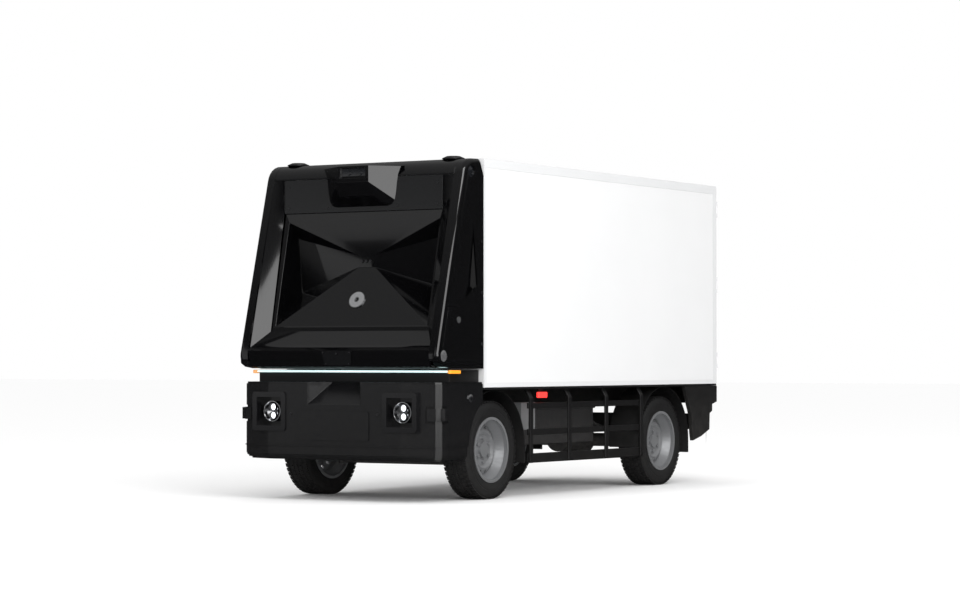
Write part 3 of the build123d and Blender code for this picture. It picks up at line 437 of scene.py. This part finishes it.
def facetMesh(name, facets, sections=6):
    # each facet is a flat outline, and a quad is split finely so that a twisted one bends evenly
    shape = bmesh.new()
    for facet in facets:
        corners = [Vector(p) for p in facet]
        if len(corners) != 4:
            shape.faces.new([shape.verts.new(p) for p in corners])
            continue
        a, b, c, d = corners
        grid = []
        for i in range(sections + 1):
            u = i / sections
            near, far = a.lerp(b, u), d.lerp(c, u)
            grid.append([shape.verts.new(near.lerp(far, j / sections)) for j in range(sections + 1)])
        for i in range(sections):
            for j in range(sections):
                shape.faces.new([grid[i][j], grid[i + 1][j], grid[i + 1][j + 1], grid[i][j + 1]])
    bmesh.ops.remove_doubles(shape, verts=shape.verts, dist=weldDistance)
    mesh = bpy.data.meshes.new(name)
    shape.to_mesh(mesh)
    shape.free()
    return mesh


def withMirror(facets):
    return facets + [[flipped(p) for p in reversed(facet)] for facet in facets]


def makeFrontFrame():
    x = frameHalf
    rimLow, rimMid, rimTop = (x, ahead(0.731), 1.017), (x, ahead(0.507), 1.932), (x, ahead(0.4521), 2.156)
    inLow = (0.634, ahead(0.620), 1.125)
    inMid, inTop = (0.639, ahead(0.4562), 1.932), (0.638, ahead(0.4552), 2.156)
    crease, foot, under = (x, ahead(0.762), 0.996), (x, ahead(0.738), 0.890), (x, ahead(0.602), 0.872)
    step = (0.634, ahead(0.607), 1.1495)
    ledge = (0.634, ahead(0.612), 1.1255)
    sides = [[rimLow, rimMid, inMid, inLow], [rimMid, rimTop, inTop, inMid]]
    wide = [(inLow, rimLow), (rimLow, crease), (crease, foot), (ledge, inLow), (step, ledge)]
    across = [[flipped(upper), flipped(lower), lower, upper] for upper, lower in wide]
    turnedUnder = facetMesh("underTurn", [[flipped(foot), flipped(under), under, foot]], 2)
    fixFacing(turnedUnder)
    newPiece("underTurn", roundedMesh(turnedUnder, "underTurn", 0.002, 2, 12, 0.004), "chassis",
             "liner_plastic")
    mesh = facetMesh("frontFrame", withMirror([list(reversed(f)) for f in sides]) + across)
    fixFacing(mesh)
    made = roundedMesh(mesh, "frontFrame", 0.006, 3, 14, 0.006)
    return newPiece("frontFrame", made, "chassis", "cab_gloss", ["front_frame"])


def fixFacing(mesh):
    # the sheet faces the front, so any face that looks back is turned round, island by island
    shape = bmesh.new()
    shape.from_mesh(mesh)
    bmesh.ops.recalc_face_normals(shape, faces=shape.faces)
    if sum(face.normal.y * face.calc_area() for face in shape.faces) > 0:
        bmesh.ops.reverse_faces(shape, faces=shape.faces)
    shape.to_mesh(mesh)
    shape.free()


def makeFunnel():
    edgeTop, edgeLow = (0.634, ahead(0.4445), 1.928), (0.632, ahead(0.6065), 1.150)
    rampTop, wedgeTop = (0.608, ahead(0.444), 1.928), (0.608, ahead(0.440), 1.866)
    floorTop, floorLow = (0.608, ahead(0.333), 1.766), (0.608, ahead(0.286), 1.392)
    wedgeLow, rampLow = (0.608, ahead(0.599), 1.159), (0.608, ahead(0.6065), 1.150)
    hubTop, hubLow = (0.070, ahead(0.400), 1.637), (0.070, ahead(0.400), 1.554)
    half = [[rampTop, hubTop, wedgeTop], [hubTop, floorTop, wedgeTop], [hubTop, hubLow, floorLow, floorTop],
            [hubLow, wedgeLow, floorLow], [wedgeTop, floorTop, floorLow, wedgeLow],
            [edgeTop, rampTop, wedgeTop], [edgeTop, wedgeTop, wedgeLow, edgeLow],
            [wedgeLow, rampLow, edgeLow]]
    pairs = [(hubTop, hubLow), (rampTop, hubTop), (hubLow, wedgeLow), (wedgeLow, rampLow)]
    whole = [[flipped(upper), upper, lower, flipped(lower)] for upper, lower in pairs]
    mesh = facetMesh("funnelPanel", withMirror(half) + whole, 1)
    fixFacing(mesh)
    made = roundedMesh(mesh, "funnelPanel", 0.005, 3, 12, 0.006)
    return newPiece("funnelPanel", made, "chassis", "cab_gloss", ["funnel_panel"])


def makePod():
    back = ahead(0.4552)
    flange = [(0.312, back, 2.224), (0.288, back, 2.170), (0.279, back, 2.115), (0.272, back, 2.05),
              (0.262, back, 2.0),
              (0.240, back, 1.972), (0.205, back, 1.961)]
    noseTop, noseLow = (0.119, ahead(0.562), 2.229), (0.128, ahead(0.574), 2.118)
    chin = (0.135, ahead(0.533), 2.029)
    winTop, winLow = (0.100, ahead(0.5645), 2.214), (0.100, ahead(0.5725), 2.145)
    deepTop, deepLow = (0.096, ahead(0.552), 2.210), (0.096, ahead(0.557), 2.149)
    half = [[noseTop, noseLow, flange[4], flange[3], flange[2], flange[1], flange[0]],
            [noseLow, chin, flange[4]],
            [chin, flange[5], flange[4]], [chin, flange[6], flange[5]],
            [winTop, winLow, noseLow, noseTop], [deepTop, deepLow, winLow, winTop]]
    pairs = [(noseTop, winTop), (winTop, deepTop), (deepTop, deepLow), (deepLow, winLow), (winLow, noseLow),
             (noseLow, chin), (chin, flange[6])]
    whole = [[flipped(a), a, b, flipped(b)] for a, b in pairs]
    deck = (0.312, ahead(0.400), 2.232)
    deckIn = (0.119, ahead(0.400), 2.240)
    half.append([flange[0], noseTop, deckIn, deck])
    whole.append([flipped(noseTop), noseTop, deckIn, flipped(deckIn)])
    mesh = facetMesh("sensorPod", withMirror(half) + whole, 1)
    fixFacing(mesh)
    made = roundedMesh(mesh, "sensorPod", 0.004, 3, 12, 0.004)
    return newPiece("sensorPod", made, "chassis", "cab_gloss", ["sensor_pod"])


def makeScoop():
    # floor and slanted walls of the wedge at the middle of the bumper's top edge
    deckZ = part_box("bumper_cover")[1].z
    half, faceY, backY = 0.213, ahead(0.7885), ahead(0.652)
    low, high = (half, faceY, 0.637), (half, faceY, deckZ - 0.003)
    deep, corner = (0.104, backY, deckZ - 0.002), (half, backY, deckZ - 0.002)
    side = [[low, high, deep], [high, corner, deep]]
    mesh = facetMesh("bumperScoop", withMirror(side) + [[flipped(deep), deep, low, flipped(low)]], 1)
    fixFacing(mesh)
    return newPiece("bumperScoop", roundedMesh(mesh, "bumperScoop", 0.002, 2, 12, 0.003), "chassis",
                    "bumper_satin")


makeFrontFrame()
makeFunnel()
makePod()
makeScoop()
print("front module made")


# tyres: carcass, raised sidewall lines and tread blocks
tyreLook = {"beadRadius": 0.2104, "treadRadius": 0.3235, "outerRadius": 0.33, "halfWidth": 0.098,
            "blocks": 58, "blockLong": 0.0268, "blockHigh": 0.0075, "blockSink": 0.0006,
            "rows": ((-0.0735, 0.027, 0.0, 0.12), (-0.034, 0.024, 0.05, -0.22), (0.0, 0.018, 0.02, 0.3),
                     (0.034, 0.024, 0.05, -0.22), (0.0735, 0.027, 0.0, 0.12))}   # across, wide, phase, slant


def tyreOutline(look):
    bead, tread, half = look["beadRadius"], look["treadRadius"], look["halfWidth"]
    outside = [(half - 0.014, bead), (half - 0.006, bead + 0.012), (half - 0.0035, bead + 0.022),
               (half - 0.0005, bead + 0.042), (half, bead + 0.056), (half - 0.0016, bead + 0.058),
               (half - 0.0016, bead + 0.064), (half - 0.0004, bead + 0.066), (half - 0.003, bead + 0.084),
               (half - 0.0075, tread - 0.016), (half - 0.013, tread - 0.006), (half - 0.022, tread - 0.0008),
               (half - 0.04, tread + 0.0006), (0.0, tread + 0.001)]
    lining = [(0.0, tread - 0.018), (half - 0.03, tread - 0.02), (half - 0.017, bead + 0.06),
              (half - 0.026, bead)]
    crown = outside + [(-x, r) for x, r in reversed(outside[:-1])]
    return crown + [(-x, r) for x, r in reversed(lining)] + lining[1:]


def nodeTree(name, inputs):
    tree = bpy.data.node_groups.new(name, "GeometryNodeTree")
    for label, kind, value in inputs:
        socket = tree.interface.new_socket(label, in_out="INPUT", socket_type=kind)
        if value is not None:
            socket.default_value = value
    tree.interface.new_socket("Geometry", in_out="OUTPUT", socket_type="NodeSocketGeometry")
    return tree, tree.nodes.new("NodeGroupInput"), tree.nodes.new("NodeGroupOutput")


def ringTree():
    # blocks set round the wheel's axle line, each row with its own width, place and slant
    tree, given, made = nodeTree("blocksRoundAxle", [
        ("Count", "NodeSocketInt", 60), ("Radius", "NodeSocketFloat", 0.32),
        ("Block", "NodeSocketVector", (0.02, 0.02, 0.01)),
        ("Across", "NodeSocketFloat", 0.0), ("Phase", "NodeSocketFloat", 0.0),
        ("Slant", "NodeSocketFloat", 0.0),
        ("Centre", "NodeSocketVector", None), ("Material", "NodeSocketMaterial", None)])
    add, link = tree.nodes.new, tree.links.new
    block = add("GeometryNodeMeshCube")
    link(given.outputs["Block"], block.inputs["Size"])
    slant = add("ShaderNodeCombineXYZ")
    link(given.outputs["Slant"], slant.inputs["Z"])
    out = add("ShaderNodeCombineXYZ")
    link(given.outputs["Across"], out.inputs["X"])
    link(given.outputs["Radius"], out.inputs["Z"])
    lifted = add("GeometryNodeTransform")
    link(block.outputs["Mesh"], lifted.inputs["Geometry"])
    link(out.outputs[0], lifted.inputs["Translation"])
    link(slant.outputs[0], lifted.inputs["Rotation"])
    spots = add("GeometryNodePoints")
    link(given.outputs["Count"], spots.inputs["Count"])
    index = add("GeometryNodeInputIndex")
    share = add("ShaderNodeMath")
    share.operation = "DIVIDE"
    link(index.outputs[0], share.inputs[0])
    link(given.outputs["Count"], share.inputs[1])
    turn = add("ShaderNodeMath")
    turn.operation = "MULTIPLY_ADD"
    turn.inputs[1].default_value = 2 * math.pi
    link(share.outputs[0], turn.inputs[0])
    link(given.outputs["Phase"], turn.inputs[2])
    spin = add("ShaderNodeCombineXYZ")
    link(turn.outputs[0], spin.inputs["X"])
    placed = add("GeometryNodeInstanceOnPoints")
    link(spots.outputs[0], placed.inputs["Points"])
    link(lifted.outputs[0], placed.inputs["Instance"])
    link(spin.outputs[0], placed.inputs["Rotation"])
    moved = add("GeometryNodeTransform")
    link(placed.outputs[0], moved.inputs["Geometry"])
    link(given.outputs["Centre"], moved.inputs["Translation"])
    real = add("GeometryNodeRealizeInstances")
    link(moved.outputs[0], real.inputs[0])
    paint = add("GeometryNodeSetMaterial")
    link(real.outputs[0], paint.inputs["Geometry"])
    link(given.outputs["Material"], paint.inputs["Material"])
    link(paint.outputs[0], made.inputs[0])
    return tree


def headTree():
    # a row of round screw or bolt heads: a low drum with a smaller crown, facing along +Z before it is turned
    tree, given, made = nodeTree("screwHeads", [
        ("Count", "NodeSocketInt", 4), ("Start", "NodeSocketVector", None),
        ("Step", "NodeSocketVector", None),
        ("Turn", "NodeSocketVector", None), ("Radius", "NodeSocketFloat", 0.006),
        ("Height", "NodeSocketFloat", 0.003),
        ("Sides", "NodeSocketInt", 12), ("Material", "NodeSocketMaterial", None)])
    add, link = tree.nodes.new, tree.links.new
    line = add("GeometryNodeMeshLine")
    line.mode = "OFFSET"
    link(given.outputs["Count"], line.inputs["Count"])
    link(given.outputs["Start"], line.inputs["Start Location"])
    link(given.outputs["Step"], line.inputs["Offset"])
    drum = add("GeometryNodeMeshCone")
    link(given.outputs["Sides"], drum.inputs["Vertices"])
    link(given.outputs["Radius"], drum.inputs["Radius Bottom"])
    narrow = add("ShaderNodeMath")
    narrow.operation = "MULTIPLY"
    narrow.inputs[1].default_value = 0.78
    link(given.outputs["Radius"], narrow.inputs[0])
    link(narrow.outputs[0], drum.inputs["Radius Top"])
    link(given.outputs["Height"], drum.inputs["Depth"])
    placed = add("GeometryNodeInstanceOnPoints")
    link(line.outputs["Mesh"], placed.inputs["Points"])
    link(drum.outputs["Mesh"], placed.inputs["Instance"])
    link(given.outputs["Turn"], placed.inputs["Rotation"])
    real = add("GeometryNodeRealizeInstances")
    link(placed.outputs[0], real.inputs[0])
    paint = add("GeometryNodeSetMaterial")
    link(real.outputs[0], paint.inputs["Geometry"])
    link(given.outputs["Material"], paint.inputs["Material"])
    link(paint.outputs[0], made.inputs[0])
    return tree


def grownMesh(name, tree, rows):
    # runs the tree once for each row of settings and joins the results into one plain mesh
    whole = bmesh.new()
    for row in rows:
        worker = bpy.data.objects.new("worker", bpy.data.meshes.new("worker"))
        scene.collection.objects.link(worker)
        growth = worker.modifiers.new("growth", "NODES")
        growth.node_group = tree
        for socket in tree.interface.items_tree:
            if socket.in_out == "INPUT" and socket.name in row:
                growth[socket.identifier] = row[socket.name]
        grown = finishedMesh(worker, name)
        whole.from_mesh(grown)
        bpy.data.meshes.remove(grown)
    mesh = bpy.data.meshes.new(name)
    whole.to_mesh(mesh)
    whole.free()
    return smoothMesh(mesh, 30)


blocksRoundAxle = ringTree()
screwHeads = headTree()


def makeTyre(corner):
    part = "tyre_" + corner
    low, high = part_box(part)
    centre = (low + high) / 2
    side = 1 if centre.x > 0 else -1
    outline = tyreOutline(tyreLook)
    turned("tyreCarcass_" + corner, outline, centre, side, nodes[part]["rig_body"], "tyre_rubber", [part])
    tall = tyreLook["blockHigh"]
    radius = tyreLook["outerRadius"] - tyreLook["blockSink"] - tall / 2
    rows = [{"Count": tyreLook["blocks"], "Radius": radius, "Block": (wide, tyreLook["blockLong"], tall),
             "Across": across, "Phase": phase, "Slant": slant, "Centre": tuple(centre),
             "Material": finishes["tyre_rubber"]} for across, wide, phase, slant in tyreLook["rows"]]
    blocks = grownMesh("treadBlocks_" + corner, blocksRoundAxle, rows)
    newPiece("treadBlocks_" + corner, blocks, nodes[part]["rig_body"], "tyre_rubber")


for corner in cornerNames:
    makeTyre(corner)
print("tyres made")

# screws and bolts that show
quarter = math.radians(90)
faceFront, faceBack = (quarter, 0, 0), (-quarter, 0, 0)
faceLeft, faceRight = (0, quarter, 0), (0, -quarter, 0)
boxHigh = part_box("box_side_left")[1]
trimLow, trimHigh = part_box("box_trims")
doorLow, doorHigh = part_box("rear_door_left")
guardLow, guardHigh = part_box("side_guard_left")

fixingLook = {"guardRows": (0.247, 0.276, 0.44, 0.62), "guardRadius": 0.0065,
              "hingeShares": (0.113, 0.49, 0.868), "hingeGap": 0.013, "hingeRadius": 0.006,
              "postRadius": 0.0045, "topRadius": 0.004, "sillRadius": 0.0038}


def heads(count, start, step, turn, radius, height, finishName, sides=12):
    return {"Count": count, "Start": tuple(start), "Step": tuple(step), "Turn": turn, "Radius": radius,
            "Height": height, "Sides": sides, "Material": finishes[finishName]}


def boxFixings():
    # small round heads along the corner extrusions of the cargo box, both sides
    rows = []
    length = trimHigh.y - trimLow.y
    rearPost, roofEdge = trimLow.y + 0.015, trimHigh.z - 0.02
    for side, turn in ((1, faceLeft), (-1, faceRight)):
        x = side * trimHigh.x
        rows.append(heads(3, (x, rearPost, trimLow.z + 0.36), (0, 0, 0.46), turn,
                          fixingLook["postRadius"], 0.002, "trim_white"))
        rows.append(heads(2, (x, trimLow.y + 0.02, roofEdge), (0, 0.022, 0), turn,
                          fixingLook["topRadius"], 0.002, "trim_white"))
        rows.append(heads(9, (x, trimLow.y + 0.14, trimLow.z + 0.016), (0, length / 9, 0), turn,
                          fixingLook["sillRadius"], 0.0016, "trim_white"))
    newPiece("boxFixings", grownMesh("boxFixings", screwHeads, rows), "chassis", "trim_white")


def guardBolts():
    # six-sided bolt heads where the guard rails cross its posts
    rows = []
    postStep = (guardHigh.y - guardLow.y - 0.045) / 3
    for side, turn in ((1, faceLeft), (-1, faceRight)):
        for z in fixingLook["guardRows"]:
            x = side * (guardHigh.x - 0.001)
            rows.append(heads(4, (x, guardLow.y + 0.0225, z), (0, postStep, 0), turn,
                              fixingLook["guardRadius"], 0.005, "screw_black", 6))
    newPiece("guardBolts", grownMesh("guardBolts", screwHeads, rows), "chassis", "screw_black")


def rearDoorBolts(side, name):
    # bolts of the three hinge straps on one door leaf
    rows = []
    span = doorHigh.z - doorLow.z
    for share in fixingLook["hingeShares"]:
        z = doorLow.z + span * share
        for dz in (-fixingLook["hingeGap"], fixingLook["hingeGap"]):
            start = (side * 0.62, doorHigh.y - 0.0165, z + dz)
            rows.append(heads(3, start, (side * 0.045, 0, 0), faceBack, fixingLook["hingeRadius"], 0.004,
                              "zinc_steel", 6))
    piece = grownMesh("doorBolts_" + name, screwHeads, rows)
    newPiece("doorBolts_" + name, piece, "door_" + name, "zinc_steel")


boxFixings()
guardBolts()
print("fixings made")


# lamps
lampLook = {"x": 0.521, "z": 0.590, "ring": 0.069, "unitRadius": 0.0265, "unitGap": 0.032, "unitInset": 0.004,
            "core": 0.0001}   # core: radius of the hole left at the centre of a turned piece


def headlight(side):
    # a chrome cup, and two stacked projector lenses in dark collars
    frontY, backY = (corner.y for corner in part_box("headlight_lamps"))
    x = side * lampLook["x"]
    name = "left" if side > 0 else "right"
    core, ring, depth = lampLook["core"], lampLook["ring"], backY - frontY

    def disc(label, outline, z, finishName, replaced=()):
        def place(back, radius, angle):
            return (x + radius * math.cos(angle), frontY + back, z + radius * math.sin(angle))

        mesh = spunMesh(label, place, outline, 64, 1e-6)
        return newPiece(label, smoothMesh(mesh, 35), "chassis", finishName, replaced)

    cup = [(0.0, ring - 0.004), (0.0, ring - 0.001), (0.006, ring), (depth, ring), (depth, core),
           (depth - 0.006, core), (0.020, ring - 0.016), (0.010, ring - 0.009), (0.004, ring - 0.007)]
    disc("lampRing_" + name, cup, lampLook["z"], "lamp_chrome", ["headlight_lamps"])
    outer, inner = lampLook["unitRadius"], lampLook["unitRadius"] - 0.005
    collar = [(0.008, outer), (0.006, outer - 0.002), (0.012, outer - 0.004), (0.0235, inner),
              (0.0235, outer + 0.002), (0.012, outer + 0.001)]
    turns = [k / 6 * math.pi / 2 for k in range(7)]
    dome = [(0.0205 - 0.010 * math.cos(turn), max(core, inner * math.sin(turn))) for turn in turns]
    dome += [(0.023, inner), (0.023, core)]
    for dz, label in ((lampLook["unitGap"] - lampLook["unitInset"], "Upper"),
                      (lampLook["unitInset"] - lampLook["unitGap"], "Lower")):
        disc("lampUnit" + label + "_" + name, collar, lampLook["z"] + dz, "bezel_black")
        disc("lampLens" + label + "_" + name, dome, lampLook["z"] + dz, "lamp_lens")


def makeCornerLamps():
    # the low round side lamps, and the pale round reflectors above them
    core = lampLook["core"]
    lowLamp = [(0.0005, core), (0.0005, 0.027), (0.006, 0.027), (0.0085, 0.023), (0.0115, 0.015),
               (0.0138, core)]
    patch = [(0.0003, core), (0.0003, 0.036), (0.002, 0.037), (0.0042, 0.033), (0.0055, 0.02), (0.006, core)]
    for side, name in ((1, "left"), (-1, "right")):
        lampAt = Vector((side * boxHigh.x, ahead(0.372), 0.680))
        patchAt = Vector((side * boxHigh.x, ahead(0.700), 0.958))
        turned("sideLamp_" + name, lowLamp, lampAt, side, "chassis", "lamp_chrome", steps=40)
        turned("sideReflector_" + name, patch, patchAt, side, "hatch_" + name, "badge_silver", steps=40)


def makeFaceFixings():
    # screws of the small lower cover, and bosses on the funnel's centre plate
    rows = [heads(2, (-0.106, ahead(0.765), 0.982), (0.212, 0, 0), faceFront, 0.0045, 0.003, "screw_black"),
            heads(2, (-0.092, ahead(0.748), 0.905), (0.184, 0, 0), faceFront, 0.0045, 0.003, "screw_black"),
            heads(1, (0, ahead(0.7645), 0.974), (0, 0, 0), faceFront, 0.006, 0.004, "screw_black"),
            heads(3, (-0.034, ahead(0.4035), 1.596), (0.034, 0, 0), faceFront, 0.0135, 0.006,
                  "screw_black", 4)]
    newPiece("faceScrews", grownMesh("faceScrews", screwHeads, rows), "chassis", "screw_black")


makeCornerLamps()
makeFaceFixings()
headlight(1)
headlight(-1)
rearDoorBolts(1, "left")
rearDoorBolts(-1, "right")
print("lamps made")


# floor, light and camera
stageLook = {"floorSize": 160.0, "floorTint": (0.97, 0.97, 0.97), "floorGloss": (0.03, 0.03, 0.031),
             "skyDiffuse": 1.0, "skyLowGloss": 0.03, "skyHighGloss": 0.3, "skySeen": 1.0,
             "skyRiseFrom": 0.12, "skyRiseTo": 0.75}
softboxLook = {   # place, aim, width, height, watts
    "keyLight": ((7.0, -5.0, 7.5), (0, 0, 1.2), 5.0, 4.0, 300.0),
    "sideLight": ((10.1, -11.4, 3.7), (0, -1.8, 1.6), 10.0, 7.2, 760.0),
    "leftLight": ((-10.5, -12.0, 1.7), (0, -1.9, 1.4), 10.0, 3.0, 46.0),
    "frontLight": ((-1.4, -15.4, 1.8), (0, -1.9, 1.4), 4.2, 3.2, 45.0),
}
cameraLook = {"lens": 101.02, "sensor": 36.0, "place": (10.1059, -16.6969, 0.9385),
              "turn": (91.2036, 0.0, 31.4774)}


def makeFloor(look):
    half = look["floorSize"] / 2
    mesh = bpy.data.meshes.new("floor")
    mesh.from_pydata([(-half, -half, 0), (half, -half, 0), (half, half, 0), (-half, half, 0)], [],
                     [(0, 1, 2, 3)])
    floor = bpy.data.objects.new("floor", mesh)
    scene.collection.objects.link(floor)
    material = bpy.data.materials.new("paleFloor")
    material.use_nodes = True
    tree = material.node_tree
    tree.nodes.clear()
    out = tree.nodes.new("ShaderNodeOutputMaterial")
    pale = tree.nodes.new("ShaderNodeBsdfDiffuse")
    pale.inputs["Color"].default_value = (*look["floorTint"], 1.0)
    dim = tree.nodes.new("ShaderNodeBsdfDiffuse")
    dim.inputs["Color"].default_value = (*look["floorGloss"], 1.0)
    rays = tree.nodes.new("ShaderNodeLightPath")
    mix = tree.nodes.new("ShaderNodeMixShader")
    tree.links.new(rays.outputs["Is Glossy Ray"], mix.inputs[0])
    tree.links.new(pale.outputs[0], mix.inputs[1])
    tree.links.new(dim.outputs[0], mix.inputs[2])
    tree.links.new(mix.outputs[0], out.inputs["Surface"])
    mesh.materials.append(material)


def makeSky(look):
    world = bpy.data.worlds.new("studio")
    scene.world = world
    world.use_nodes = True
    tree = world.node_tree
    tree.nodes.clear()
    out = tree.nodes.new("ShaderNodeOutputWorld")
    sky = tree.nodes.new("ShaderNodeBackground")
    sky.inputs["Color"].default_value = (1.0, 1.0, 1.0, 1.0)
    rays = tree.nodes.new("ShaderNodeLightPath")
    gloss = tree.nodes.new("ShaderNodeMix")
    gloss.inputs[2].default_value = look["skyDiffuse"]
    where = tree.nodes.new("ShaderNodeTexCoord")
    height = tree.nodes.new("ShaderNodeSeparateXYZ")
    climb = tree.nodes.new("ShaderNodeMapRange")
    climb.inputs["From Min"].default_value = look["skyRiseFrom"]
    climb.inputs["From Max"].default_value = look["skyRiseTo"]
    climb.inputs["To Min"].default_value = look["skyLowGloss"]
    climb.inputs["To Max"].default_value = look["skyHighGloss"]
    tree.links.new(where.outputs["Generated"], height.inputs[0])
    tree.links.new(height.outputs["Z"], climb.inputs["Value"])
    tree.links.new(climb.outputs[0], gloss.inputs[3])
    seen = tree.nodes.new("ShaderNodeMix")
    seen.inputs[3].default_value = look["skySeen"]
    tree.links.new(rays.outputs["Is Glossy Ray"], gloss.inputs[0])
    tree.links.new(gloss.outputs[0], seen.inputs[2])
    tree.links.new(rays.outputs["Is Camera Ray"], seen.inputs[0])
    tree.links.new(seen.outputs[0], sky.inputs["Strength"])
    tree.links.new(sky.outputs[0], out.inputs["Surface"])


def softbox(name, place, aim, wide, high, watts):
    data = bpy.data.lights.new(name, "AREA")
    data.shape = "RECTANGLE"
    data.size = wide
    data.size_y = high
    data.energy = watts
    lamp = bpy.data.objects.new(name, data)
    scene.collection.objects.link(lamp)
    lamp.location = place
    lamp.visible_camera = False
    lamp.rotation_euler = (Vector(aim) - Vector(place)).to_track_quat("-Z", "Y").to_euler()


def makeCamera(look):
    data = bpy.data.cameras.new("camera")
    data.lens = look["lens"]
    data.sensor_width = look["sensor"]
    data.clip_end = 400.0
    camera = bpy.data.objects.new("camera", data)
    scene.collection.objects.link(camera)
    camera.location = look["place"]
    camera.rotation_euler = [math.radians(angle) for angle in look["turn"]]
    scene.camera = camera


makeFloor(stageLook)
makeSky(stageLook)
for name, look in softboxLook.items():
    softbox(name, *look)
makeCamera(cameraLook)
scene.view_settings.view_transform = "Standard"
print("stage set")
